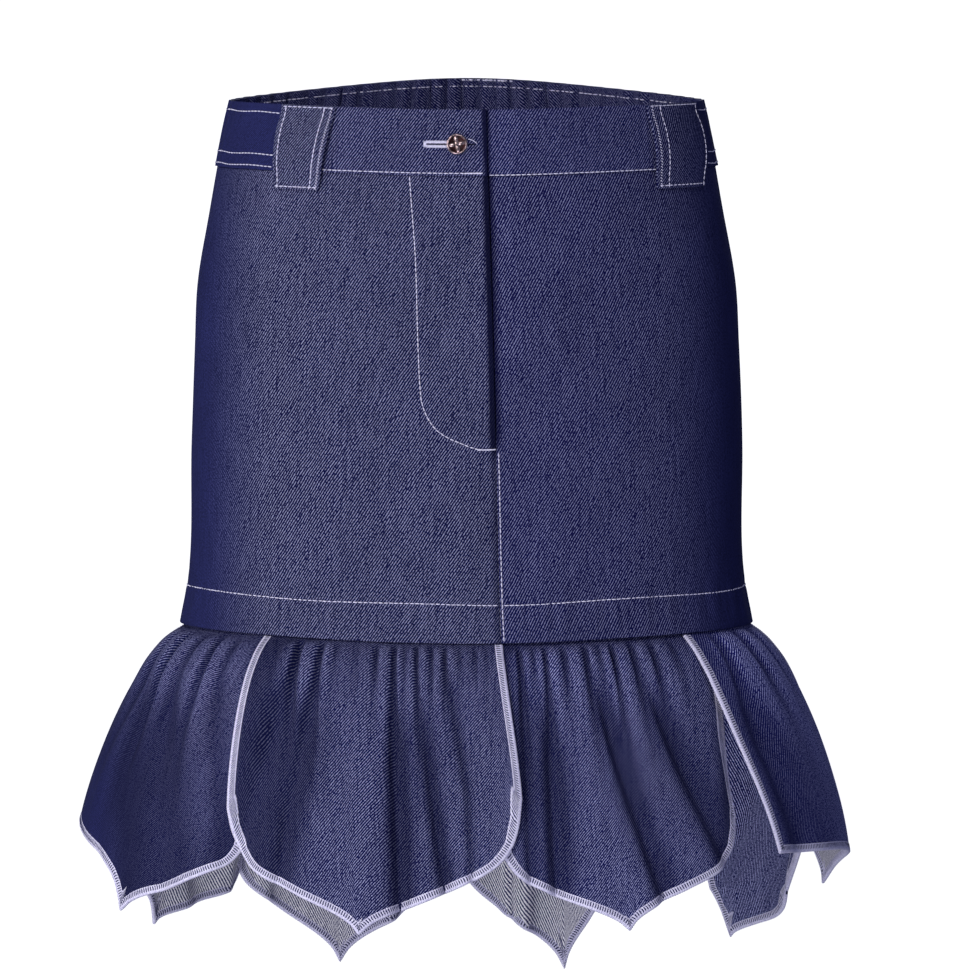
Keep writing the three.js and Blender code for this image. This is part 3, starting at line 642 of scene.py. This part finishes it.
# painted shade: the inside of the back petal seen below the front ones gets a darker, bluer denim standing in
# for its shaded wrong side
wrongShade = denimFinish("wrong_side_painted_shade", 1.7, 60, pitch=1.35, fade=(0.3, 0.34), folded=0.4)
print("finishes made")


def read(items, key, size=1, kind=float):  # one value of every vertex, corner or face
    values = np.zeros(len(items) * size, kind)
    items.foreach_get(key, values)
    return values


def meshFrom(bm, name):
    mesh = bpy.data.meshes.new(name)
    bm.to_mesh(mesh)
    bm.free()
    mesh.polygons.foreach_set("use_smooth", [True] * len(mesh.polygons))
    return mesh


def newObject(name, data):
    made = bpy.data.objects.new(name, data)
    bpy.context.collection.objects.link(made)
    return made


def finishPiece(name, mesh, nodes=()):
    piece = newObject(name, mesh)
    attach(piece, "root")
    if nodes:
        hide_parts(*nodes)
    return piece


def clothLayout(point):  # how far each place is across and down the flat cloth, in metres
    def layout(across, down):
        points = point(across, down) * mm
        u = runLength(points, 1)
        return u - u[:, across.shape[1] // 2, None], runLength(points)
    return layout


def gridMesh(name, columns, rows, point, layout, fold=None):  # a grid moved onto the surface, and its UV maps
    bm = bmesh.new()
    bmesh.ops.create_grid(bm, x_segments=len(columns) - 1, y_segments=len(rows) - 1, size=0.5)
    mesh = meshFrom(bm, name)
    spots = read(mesh.vertices, "co", 3).reshape(-1, 3)
    i = np.rint((spots[:, 0] + 0.5) * (len(columns) - 1)).astype(int)
    j = np.rint((0.5 - spots[:, 1]) * (len(rows) - 1)).astype(int)
    across, down = np.meshgrid(np.asarray(columns, float), np.asarray(rows, float))
    points = point(across, down) * mm
    mesh.vertices.foreach_set("co", points[j, i].ravel())
    u, v = layout(across, down)
    corner = read(mesh.loops, "vertex_index", kind=int)
    maps = {"cloth": (u, v)}
    # the second UV map carries how deep the painted shade lies
    if fold:
        deep = fold(across, down) * mm
        maps["fold"] = (deep, 0 * deep)
    for key, pair in maps.items():
        mesh.uv_layers.new(name=key).data.foreach_set("uv", np.stack(pair, -1)[j, i][corner].ravel())
    mesh.update()
    return mesh, (float(np.ptp(u)), float(v.max()))


def clothPiece(name, columns, rows, point, finish, node, wall=None, held="hung", on=(), bevel=0.0,
               inside=None, calm=None, fold=None):
    mesh, (wide, long) = gridMesh(name, columns, rows, point, clothLayout(calm or point), fold)
    for material in (finish, inside or wrongSide):
        mesh.materials.append(material)
    piece = finishPiece(name, mesh, [node])
    solid = piece.modifiers.new("wall", "SOLIDIFY")
    solid.thickness, solid.offset, solid.material_offset = (wall or cloth["wall"]) * mm, -1, 1
    solid.use_even_offset = False
    if bevel:
        soft = piece.modifiers.new("soft_edge", "BEVEL")
        soft.width, soft.segments = bevel * mm, 2
        soft.limit_method, soft.angle_limit = "ANGLE", math.radians(60)
    area = float(read(mesh.polygons, "area").sum())
    wide = max(wide, area / long * cloth["slack"])  # folds take up more cloth than the calm layout
    list(on)
    print(f"{name}: {wide:.3f} x {long:.3f} m, {area:.4f} m2, {len(mesh.polygons)} faces")
    return piece


def spread(low, high, cell=None, count=None):
    return np.linspace(low, high, (count or max(2, round((high - low) / cell))) + 1)


def betweenEdges(left, right, face):  # a panel whose upright edges may slant
    def point(share, drop):
        angle = left(drop) + (right(drop) - left(drop)) * share
        return bodyPoint(angle, drop, face(angle, drop))
    return point


# Panels of the body. Painted shade: the wearer's left panel is a darker, bluer copy of the denim, where less
# light falls; folded is the share of light threads left in the painted shade by the placket
panels = {
    "rows": 96, "angle": 57, "shieldCell": 4,
    "columns": {"front_right": 112, "front_left": 96, "back": 200, "shield": 16},
    "front_right": dict(tone=0.81, blue=1.05, folded=0.08),
    "front_left": dict(tone=0.62, blue=1.55, folded=0.08),
    "back": dict(tone=0.9), "shield": dict(tone=0.8),
}
panelRows = spread(band["height"] + cloth["gap"], body["drop"], count=panels["rows"])
sideGap = degreesFor(cloth["seam"], 90, 200)


def panelPiece(name, part, left, right, face, node, hangsFrom, rows=panelRows, **more):
    finish = denimFinish(part, angle=panels["angle"], **panels[part])
    columns = spread(0, 1, count=panels["columns"][part])
    clothPiece(name, columns, rows, betweenEdges(left, right, face), finish, node, on=[hangsFrom],
               bevel=cloth["soften"], **more)


def sideSeam(angle):
    return lambda drop: angle + 0 * drop


def shieldEdge(drop):
    return placketAt(drop) + fly["shieldPast"]


def shieldFace(angle, drop):
    return -layerStep - fly["shieldRoll"] * turnedEdge(angle, drop)


# painted shade depth on the rolled edge of the placket, and in its shadow on the left panel
def rightPanelPaintedShade(share, drop):
    return turnedUnder(-90 + (placketAt(drop) + 90) * share, drop, placketShade["panel"])


def leftPanelPaintedShade(share, drop):
    start = placketAt(drop)
    return besidePlacket(start + (90 - start) * share, drop, placketShade["under"])


backSides = (sideSeam(90 + sideGap), sideSeam(270 - sideGap))
panelPiece("panel_front_right", "front_right", sideSeam(-90 + sideGap), placketAt, rightPanelFace,
           "front_panel_right", "waistband_front_right", fold=rightPanelPaintedShade)
panelPiece("panel_front_left", "front_left", lambda d: placketAt(d) + degreesFor(fly["gap"], 0, d),
           sideSeam(90 - sideGap), leftPanelFace, "front_panel_left", "waistband_front_left",
           fold=leftPanelPaintedShade)
panelPiece("panel_back", "back", *backSides, backPanelFace, "back_panel", "waistband_back",
           calm=betweenEdges(*backSides, lambda a, d: 0 * a))
panelPiece("fly_shield_cloth", "shield", sideSeam(fly["shieldStart"]), shieldEdge, shieldFace, "fly_shield",
           "waistband_front_left", spread(band["height"] + cloth["gap"], fly["end"], panels["shieldCell"]))

# Waistband
slit = {
    "from": -25.0, "to": 5.5, "drop": 21.5, "high": 0.7, "frontAt": 104.5, "tilt": 3.5, "within": 0.9,
    "cell": 3.2,
}
bandRows = [0, 0.8, 2, 3.5, 5.5, 8, 11, 14, 17, 19, slit["drop"] - slit["high"] / 2,
            slit["drop"] + slit["high"] / 2, 24, 27, 30, 33, 35.5, 37.5, 39, 40.2, 41]
bandCells = {"right": 1.2, "slit": 1.0, "left": 0.9, "back": 0.8}
# painted shade: the left and inside finishes are darker, bluer copies of the denim; fade sets where the
# painted side shade begins and is full
bandLooks = {
    "right": dict(tone=0.76, blue=1.25, folded=0.08), "left": dict(tone=0.66, blue=1.6, folded=0.08),
    "back": dict(tone=0.75, fade=(0.09, 0.118)),
    "inside": dict(tone=0.55, blue=1.7, pitch=1.1, fade=(0.13, 0.15)),
}
bandAngle, bandSoften = 55, 0.55
bandFinish = {}
for part, look in bandLooks.items():
    bandFinish[part] = denimFinish(f"band_{part}", angle=bandAngle, **look)


def bandPoint(face):
    return lambda angle, drop: bodyPoint(angle, drop, face(angle, drop))


def slitAngle(x):  # the angle round the body of a place x across the front
    return np.degrees(np.arctan2(x, slit["frontAt"]))


def waistbandPiece(part, name, columns, face, **more):
    return clothPiece(f"band_{name}", columns, bandRows, bandPoint(face), bandFinish[part],
                      f"waistband_{name}", band["wall"], "stretched", bevel=bandSoften,
                      inside=bandFinish["inside"], **more)


def openSlit(piece):  # the cells between the lips of the buttonhole come out
    bm = bmesh.new()
    bm.from_mesh(piece.data)
    opening = []
    for face in bm.faces:
        middle = face.calc_center_median() / mm
        small = face.calc_area() < slit["cell"] * mm * mm
        level = abs(middle.z + slit["drop"] + slit["tilt"]) < slit["within"]
        if slit["from"] < middle.x < slit["to"] and small and level:
            opening.append(face)
    bmesh.ops.delete(bm, geom=opening, context="FACES")
    bm.to_mesh(piece.data)
    bm.free()
    print(f"buttonhole opened in {len(opening)} cells")


rightEnd = band["rightJoin"] + degreesFor(cloth["gap"], band["rightJoin"], 0)
backStart = band["leftJoin"] + degreesFor(cloth["gap"], band["leftJoin"], 0)
slitStart, slitEnd = slitAngle(slit["from"]), slitAngle(slit["to"])
rightColumns = np.unique(np.concatenate([
    spread(rightEnd, slitStart, bandCells["right"]), spread(slitStart, slitEnd, bandCells["slit"]),
    spread(slitEnd, fly["edge"], bandCells["slit"])]).round(6))
openSlit(waistbandPiece("right", "front_right", rightColumns, rightBandFace,
                        fold=lambda a, d: turnedUnder(a, d, placketShade["band"])))
waistbandPiece("left", "front_left", spread(band["underlapStart"], band["leftJoin"], bandCells["left"]),
               leftBandFace, fold=lambda a, d: besidePlacket(a, d, placketShade["bandUnder"]))
waistbandPiece("back", "back", spread(backStart, 360 + band["rightJoin"], bandCells["back"]), backBandFace,
               calm=bandPoint(lambda a, d: 0 * a))

# Belt loops
# painted shade: the left loop is a darker, bluer copy of the denim
loops = {
    "belt_loop_right": dict(top=(-57.8, -41.8), low=(-57, -44.6), tone=0.85, on="waistband_front_right",
                            rows=(0.1, 0.8, 0.93), slanted=0.93),
    "belt_loop_left": dict(top=(56.6, 75.6), low=(56.4, 73), tone=0.65, blue=1.3, on="waistband_front_left",
                           rows=(0.07, 0.2, 0.92), slanted=0.07),
}
loopForm = {
    "drop": [0, 6, 15, 26, 36, 44, 49, 52.5], "out": [1.9, 1.9, 4.2, 5.3, 4.4, 2.1, 0.8, 0.4], "wall": 2.0,
    "columns": 22, "cell": 2, "edge": 0.35, "edgeWidth": 0.12, "soft": 0.6, "angle": 55,
}


def loopPoint(row):
    def point(share, drop):
        t = drop / loopForm["drop"][-1]
        left = row["top"][0] + (row["low"][0] - row["top"][0]) * t
        right = row["top"][1] + (row["low"][1] - row["top"][1]) * t
        lift = sample(loopForm, "drop", drop, "out") + loopForm["wall"]
        near = np.minimum(ease(0, loopForm["edgeWidth"], share), ease(0, loopForm["edgeWidth"], 1 - share))
        return bodyPoint(left + (right - left) * share, drop, lift - loopForm["edge"] * (1 - near))
    return point


columns, rows = spread(0, 1, count=loopForm["columns"]), spread(0, loopForm["drop"][-1], loopForm["cell"])
for name, row in loops.items():
    finish = denimFinish(name, row["tone"], loopForm["angle"], blue=row.get("blue", 1))
    clothPiece(f"{name}_cloth", columns, rows, loopPoint(row), finish, name, loopForm["wall"], "folded",
               [row["on"]], bevel=loopForm["soft"])

# Petals
petalRows = np.linspace(0, 1, flounce["rows"] + 1) ** flounce["topRows"]
petalRows = np.concatenate([flounce["insideSeam"], petalRows])
t = np.linspace(0, 1, flounce["columns"] + 1)
petalColumns = t - flounce["sideColumns"] * np.sin(2 * np.pi * t) / (2 * np.pi)


def petalSeam(row):  # the panel that the petal hangs from
    middle = wrapped(sum(row["span"]) / 2)
    return "back_panel" if abs(middle) > 90 else "front_panel_left" if middle > 0 else "front_panel_right"


def petalPiece(name, row):
    finish = denimFinish(name, row["tone"], flounce["twillAngle"], pitch=flounce["twillPitch"],
                         fade=row.get("fade", flounce["fade"]), blue=row.get("blue", 1),
                         folded=flounce["threadsLeft"])
    clothPiece(f"{name}_cloth", petalColumns, petalRows, lambda a, b: petalPoint(row, a, b), finish, name,
               held="gathered", on=[petalSeam(row)], inside=wrongShade if row.get("shaded") else wrongSide,
               calm=lambda a, b: petalPoint(row, a, b, True), fold=lambda a, b: petalPaintedShade(row, a, b))


for name, row in petals.items():
    petalPiece(name, row)


def petalBorder(row):  # how far along the petal's free edge, and the share across and part down there
    down = np.linspace(0.01, 1, 700)
    over = np.linspace(0, 1, 2600)
    share = np.concatenate([0 * down, over[1:-1], 0 * down + 1])
    part = np.concatenate([down, over[1:-1] * 0 + 1, down[::-1]])
    points = petalPoint(row, share, part)
    run = runLength(points)
    at = np.linspace(0, run[-1], round(run[-1] / overlock["step"]))
    return at, np.interp(at, run, share), np.interp(at, run, part)


def smoothed(values, reach):
    kernel = np.hanning(2 * reach + 1)
    padded = np.pad(values, ((reach, reach), (0, 0)), mode="edge")
    return np.stack([np.convolve(column, kernel / kernel.sum(), "valid") for column in padded.T], axis=1)


def overlockPiece(name, row):
    at, share, part = petalBorder(row)
    step, wide, wall = overlock["probe"], overlock["wide"], cloth["wall"]
    a, b = np.clip(share, step, 1 - step), np.clip(part, step, 1 - step)
    alongA = (petalPoint(row, a + step, b) - petalPoint(row, a - step, b)) / (2 * step)
    alongB = (petalPoint(row, a, b + step) - petalPoint(row, a, b - step)) / (2 * step)
    edge = petalPoint(row, share, part)
    edgeReach, faceReach = overlock["smooth"]
    tangent = unit(smoothed(np.gradient(edge, axis=0), edgeReach))
    normal = unit(smoothed(unit(np.cross(alongB, alongA)), faceReach))
    inward = unit(np.cross(normal, tangent))
    middle = petalPoint(row, np.array(0.5), np.array(0.4))
    if dot(inward, middle - edge).mean() < 0:
        inward = -inward
    aa, ab, bb = dot(alongA, alongA), dot(alongA, alongB), dot(alongB, alongB)
    ia, ib = dot(alongA, inward), dot(alongB, inward)
    moveA, moveB = (ia * bb - ib * ab) / (aa * bb - ab * ab), (ib * aa - ia * ab) / (aa * bb - ab * ab)
    low, swell = overlock["ridge"]
    ridge = low + swell * np.sin(2 * np.pi * at / overlock["pitch"])
    lines, places = [], []
    for side in (1, -1):
        for inside, proud in overlock["section"][::side]:
            spot = petalPoint(row, np.clip(share + moveA * inside * wide, 0, 1),
                              np.clip(part + moveB * inside * wide, 0, 1))
            off = overlock["proud"] * proud * ridge
            lines.append(spot + normal * (off if side > 0 else -wall - off)[:, None])
            places.append(side * inside * wide)
        if side > 0:
            lines.append(edge - inward * (overlock["wrap"] * ridge)[:, None] - normal * (wall / 2))
            places.append(0)
    table, places = np.stack(lines), np.array(places)

    def place(i, j):
        return table[j.astype(int), i.astype(int)]

    def layout(i, j):  # along the edge, and in from it
        return at[i.astype(int)] * mm, places[j.astype(int)] * mm

    mesh, _ = gridMesh(name, np.arange(len(at)), np.arange(len(lines)), place, layout)
    mesh.materials.append(overlockThread)
    print(f"{name}: {at[-1]:.0f} mm of overlocking, {len(mesh.polygons)} faces")
    return finishPiece(name, mesh)


for name, row in petals.items():
    overlockPiece(f"{name}_overlock", row)

# Stitches, each a small flattened bead of thread that lies on the cloth
stitch = {
    "pitch": 3.3, "long": 3.15, "wide": 0.85, "high": 0.6, "off": 0.15, "reach": 0.6, "sway": 0.05,
    "swayTurns": 2.4, "uneven": 0.06, "unevenTurns": 1.7,
}
tack = {"pitch": 0.8, "long": 1.8, "wide": 0.9, "slant": 0.4}
bandTack = {"pitch": 0.8, "long": 1.7, "wide": 0.9, "slant": 0.5}
hemRow = {"placketDrop": 308, "fromPlacket": (-0.6, 1.2), "fromSide": 0.5, "wave": 0.5, "waveTurns": 0.11}
bandRow = {
    "front": 39.3, "underlap": (40.6, 40.3), "back": (5.5, 31.5, 38.7), "wave": 0.3, "waveTurns": 0.4,
    "inside": 5, "white": 1.2, "whiteSpan": (164.5, 183),
}


def stitchAlong(beads, points, normals, pitch=None, long=None, wide=None, slant=0.0):
    run = runLength(points)

    def along(values, at):
        return np.array([np.interp(at, run, values[:, i]) for i in range(3)])

    pitch, long, wide = pitch or stitch["pitch"], long or stitch["long"], wide or stitch["wide"]
    count = max(1, int(run[-1] / pitch))
    for k in range(count):
        at = (k + 0.5) * run[-1] / count
        normal = unit(along(normals, at))
        tangent = unit(along(points, at + stitch["reach"]) - along(points, at - stitch["reach"]))
        side = unit(np.cross(normal, tangent))
        turn = slant + stitch["sway"] * math.sin(k * stitch["swayTurns"])
        s, c = math.sin(turn), math.cos(turn)
        size = long * (1 + stitch["uneven"] * math.sin(k * stitch["unevenTurns"]))
        axes = (side * c - tangent * s) * wide, normal * stitch["high"], (tangent * c + side * s) * size
        matrix = Matrix([list(axis * mm / 2) for axis in axes]).transposed().to_4x4()
        matrix.translation = Vector((along(points, at) + normal * stitch["off"]) * mm)
        beads.append(matrix)


def directions(angle, drop):  # across the body and out from it
    down = bodySurface(angle, drop + 1) - bodySurface(angle, drop - 1)
    over = unit(bodySurface(angle + 0.5, drop) - bodySurface(angle - 0.5, drop))
    return over, unit(np.cross(down, over))


def bodyRow(beads, angles, drops, face, out=0.0, inside=False, **size):  # through these angles and drops
    t = np.linspace(0, 1, 12 * len(angles) + 60)
    knots = np.linspace(0, 1, len(angles))
    angle, drop = np.interp(t, knots, angles), np.interp(t, knots, np.broadcast_to(drops, len(angles)))
    normal = directions(angle, drop)[1] * (-1 if inside else 1)
    stitchAlong(beads, bodyPoint(angle, drop, face(angle, drop) + out), normal, **size)


def stitchPiece(name, build):
    beads = []
    build(beads)
    whole, mesh = bmesh.new(), bpy.data.meshes.new(name)
    for first in range(0, len(beads), 48):  # a few dozen at a time, because one large mesh grows slowly
        bm = bmesh.new()
        for matrix in beads[first:first + 48]:
            bmesh.ops.create_uvsphere(bm, u_segments=6, v_segments=4, radius=1, matrix=matrix)
        bm.to_mesh(mesh)
        bm.free()
        whole.from_mesh(mesh)
    bmesh.ops.recalc_face_normals(whole, faces=whole.faces)
    bpy.data.meshes.remove(mesh)
    mesh = meshFrom(whole, name)
    mesh.materials.append(thread)
    print(f"{name}: {len(beads)} stitches, {len(mesh.polygons)} faces")
    return finishPiece(name, mesh)


def hemStitches(beads):
    placket, near = placketAt(hemRow["placketDrop"]), hemRow["fromSide"]
    before, after = hemRow["fromPlacket"]
    rows = [(near - 90, placket + before, rightPanelFace), (placket + after, 90 - near, leftPanelFace),
            (90 + near, 270 - near, backPanelFace)]
    for start, end, face in rows:
        angles = np.linspace(start, end, 40)
        wave = hemRow["wave"] * np.sin(angles * hemRow["waveTurns"])
        bodyRow(beads, angles, body["hemStitch"] + wave, face)


def flyStitches(beads):
    top, foot = flyRow["drop"][0], flyRow["drop"][-1]
    drops = np.linspace(0, 1, 120) ** 0.6 * (foot - top) + top
    bodyRow(beads, sample(flyRow, "drop", drops, "angle"), drops, rightPanelFace, 0.15)
    bodyRow(beads, spread(3.6, 8.7, count=6), foot, rightPanelFace, 0.3, **tack)
    drops = spread(fly["end"], body["drop"] - 1, 12)
    bodyRow(beads, placketAt(drops) + 0.75, drops, leftPanelFace)


def bandStitches(beads):
    def insideBack(angle, drop):
        return backBandFace(angle, drop) - band["wall"]

    bodyRow(beads, [rightEnd + 0.3, -0.5], bandRow["front"], rightBandFace)
    bodyRow(beads, [-0.6, 5.4], bandRow["front"], rightBandFace, 0.1, **bandTack)
    bodyRow(beads, [7.6, band["leftJoin"] - 0.4], bandRow["underlap"], leftBandFace)
    ring = spread(backStart + 0.4, 360 + band["rightJoin"] - 0.5, 1.5)
    for drop in bandRow["back"]:
        bodyRow(beads, ring, drop + bandRow["wave"] * np.sin(ring * bandRow["waveTurns"]), backBandFace)
    bodyRow(beads, ring, bandRow["inside"], insideBack, inside=True)
    bodyRow(beads, spread(*bandRow["whiteSpan"], 2), bandRow["white"], insideBack, inside=True, pitch=2.6,
            long=3.2, wide=1.5)


def loopStitches(beads):
    foot, many = loopForm["drop"][-1], 40
    for row in loops.values():
        lines = [(np.full(many, share), np.linspace(1, foot - 0.5, many)) for share in row["rows"]]
        lines += [(np.linspace(0.04, 0.96, many), np.full(many, drop)) for drop in (1.2, foot - 2)]
        for share, drop in lines:
            angle = row["top"][0] + (row["top"][1] - row["top"][0]) * share
            size = dict(pitch=1.7, long=1.9, wide=0.6, slant=0.9) if share[0] == row["slanted"] else {}
            stitchAlong(beads, loopPoint(row)(share, drop), levelNormal(angle, drop), **size)


hole = {
    "past": 1.5, "to": 0.5, "cell": 0.62, "up": 1.35, "tall": 2.2, "endTall": 4.6, "wide": 0.75, "off": 0.12,
}


def buttonholeStitches(beads):
    middle = slit["drop"]
    for x in spread(slit["from"] - hole["past"], hole["to"], hole["cell"]):
        for up in (-1, 1) if x > slit["from"] else (0,):
            drop, tall = middle + up * hole["up"], hole["tall"] if up else hole["endTall"]
            bodyRow(beads, [slitAngle(x)] * 2, [drop - tall / 2, drop + tall / 2], rightBandFace, hole["off"],
                    pitch=tall * 0.8, long=tall, wide=hole["wide"])
    loose = spread(0.6, 3.6, 0.25)  # one loose thread end
    drops = middle - 3.2 + 0.306 * (loose - loose[0]) ** 2
    bodyRow(beads, loose, drops, lambda a, d: band["face"] + 0 * a, 0.2, pitch=1.4, long=2.0, wide=0.7)


stitchPiece("hem_stitches", hemStitches)
stitchPiece("fly_stitches", flyStitches)
stitchPiece("band_stitches", bandStitches)
stitchPiece("belt_loop_stitches", loopStitches)
stitchPiece("buttonhole_stitches", buttonholeStitches)
print("sewing in place")

# Button
button = {
    "angle": -3.17, "drop": 21.5, "radius": 6.5, "high": 2.6, "off": 0.5, "post": 1.6, "postEnd": -2,
    "recess": 4.9, "armAt": 2.7, "armTurn": 12, "arm": (2.75, 1.45, 0.75), "armBelow": 0.95,
    "boss": (1.9, 1.9, 0.75), "bossBelow": 0.8,
}


def seatMatrix(angle, drop, out):  # stands on the body with Z out from it
    over, normal = directions(angle, drop)
    seat = Matrix([list(over), list(np.cross(normal, over)), list(normal)]).transposed().to_4x4()
    seat.translation = Vector(bodyPoint(angle, drop, out) * mm)
    return seat


def turnedProfile(bm, profile, steps=40):  # a profile of radius and height, spun round Z
    verts = [bm.verts.new((r * mm, 0, z * mm)) for r, z in profile]
    edges = [bm.edges.new(pair) for pair in zip(verts, verts[1:])]
    bmesh.ops.spin(bm, geom=verts + edges, cent=(0, 0, 0), axis=(0, 0, 1), angle=2 * math.pi, steps=steps,
                   use_merge=True)


def roundedBoss(bm, turn, x, z, sizes, around, rings):  # a flattened ball, out along X and turned round Z
    matrix = Matrix.Rotation(math.radians(turn), 4, "Z") @ Matrix.Translation((x * mm, 0, z * mm))
    matrix = matrix @ Matrix.Diagonal((*[size * mm for size in sizes], 1))
    bmesh.ops.create_uvsphere(bm, u_segments=around, v_segments=rings, radius=1, matrix=matrix)


def buttonPiece():
    bm = bmesh.new()
    r, top, off, post = button["radius"], button["off"] + button["high"], button["off"], button["post"]
    turnedProfile(bm, [(0.001, button["postEnd"]), (post, button["postEnd"]), (post, off), (r - 0.9, off),
                       (r - 0.25, 0.8), (r, 1.4), (r, top - 0.9), (r - 0.2, top - 0.35), (r - 0.6, top),
                       (r - 1.0, top - 0.1), (r - 1.3, top - 0.6), (r - 1.5, top - 1.5), (2.0, top - 1.7),
                       (0.001, top - 1.7)])
    for face in bm.faces:
        face.material_index = 1 if face.calc_center_median().to_2d().length < button["recess"] * mm else 0
    for turn in range(0, 360, 90):  # four arms between the openings, and a boss where they meet
        turn, armTop = turn + button["armTurn"], top - button["armBelow"]
        roundedBoss(bm, turn, button["armAt"], armTop, button["arm"], 12, 8)
    roundedBoss(bm, 0, 0, top - button["bossBelow"], button["boss"], 20, 10)
    bmesh.ops.remove_doubles(bm, verts=bm.verts, dist=0.003 * mm)
    bmesh.ops.recalc_face_normals(bm, faces=bm.faces)
    bmesh.ops.transform(bm, verts=bm.verts, matrix=seatMatrix(button["angle"], button["drop"], band["face"]))
    mesh = meshFrom(bm, "metal_button")
    mesh.materials.append(metalFinish("bronzed_metal", (0.68, 0.5, 0.5), 0.32))
    mesh.materials.append(metalFinish("dark_recess", (0.09, 0.02, 0.025), 0.55, 0.5))
    return finishPiece("metal_button", mesh, ["button"])


buttonPiece()

# Camera, light and floor
view = {
    "distance": 7.0, "rise": 3.2, "aim": (0.0085, 0, -0.2444), "focal": 11111, "frameHigh": 976, "sensor": 36,
}
rise = math.radians(view["rise"])
camera = newObject("camera", bpy.data.cameras.new("camera"))
camera.location = Vector(view["aim"]) + Vector((0, -math.cos(rise), math.sin(rise))) * view["distance"]
camera.rotation_euler = (math.pi / 2 - rise, 0, 0)
camera.data.sensor_width = view["sensor"]
camera.data.lens = view["focal"] / view["frameHigh"] * view["sensor"]
camera.data.clip_end = 100
bpy.context.scene.camera = camera

lamps = {
    "key": dict(turn=-22, rise=28, away=3.2, size=1.1, power=47, color=(1, 0.985, 0.965)),
    "rake": dict(turn=-70, rise=8, away=3.2, size=0.9, power=32, color=(0.98, 0.98, 1)),
    "fill": dict(turn=48, rise=10, away=3.6, size=2.4, power=17, color=(0.74, 0.77, 1)),
    "under": dict(turn=-20, rise=-32, away=3.0, size=1.6, power=43, color=(0.92, 0.93, 1)),
    "back": dict(turn=180, rise=30, away=3.4, size=2.2, power=40, color=(1, 1, 1)),
}
middle = (cadLow + cadHigh) / 2
for name, lamp in lamps.items():
    turn, up = math.radians(lamp["turn"]), math.radians(lamp["rise"])
    toward = Vector((math.sin(turn) * math.cos(up), -math.cos(turn) * math.cos(up), math.sin(up)))
    light = newObject(name, bpy.data.lights.new(name, "AREA"))
    light.data.shape, light.data.size = "DISK", lamp["size"]
    light.data.energy, light.data.color = lamp["power"], lamp["color"]
    light.location = middle + toward * lamp["away"]
    light.rotation_euler = toward.to_track_quat("Z", "Y").to_euler()
    light.visible_camera = False

sky = {"color": (0.5, 0.55, 1, 1), "strength": 0.13}
world = bpy.data.worlds.new("studio")
world.use_nodes = True
world.node_tree.nodes["Background"].inputs["Color"].default_value = sky["color"]
world.node_tree.nodes["Background"].inputs["Strength"].default_value = sky["strength"]
bpy.context.scene.world = world
bpy.context.scene.view_settings.view_transform = "Standard"

# In metres
floor = {
    "drop": -1.4, "radius": 15, "wall": 7, "bend": 2.5, "steps": 64, "dark": (0.9, 0.9, 0.9, 1),
    "light": (0.95, 0.95, 0.95, 1), "grain": 3.0,
}
outline = [(0.001, floor["drop"])]
for turn in np.linspace(0, math.pi / 2, 9):
    outline.append((floor["radius"] - floor["bend"] * (1 - math.sin(turn)),
                    floor["drop"] + floor["bend"] * (1 - math.cos(turn))))
outline.append((floor["radius"], floor["wall"]))
bm = bmesh.new()
turnedProfile(bm, [(r / mm, z / mm) for r, z in outline], floor["steps"])
bmesh.ops.remove_doubles(bm, verts=bm.verts, dist=3 * mm)
bmesh.ops.recalc_face_normals(bm, faces=bm.faces)
sweep = meshFrom(bm, "studio_floor")
studioFloor = newObject("studio_floor", sweep)
for ray in ("visible_diffuse", "visible_glossy", "visible_shadow"):
    setattr(studioFloor, ray, False)
paper = Finish("white_paper")
paperColor = paper.mix(paper.noise(paper.place(), floor["grain"]), floor["dark"], floor["light"])
sweep.materials.append(paper.set(Base_Color=paperColor, Roughness=0.9, Emission_Color=(1, 1, 1, 1),
                                 Emission_Strength=1.0))
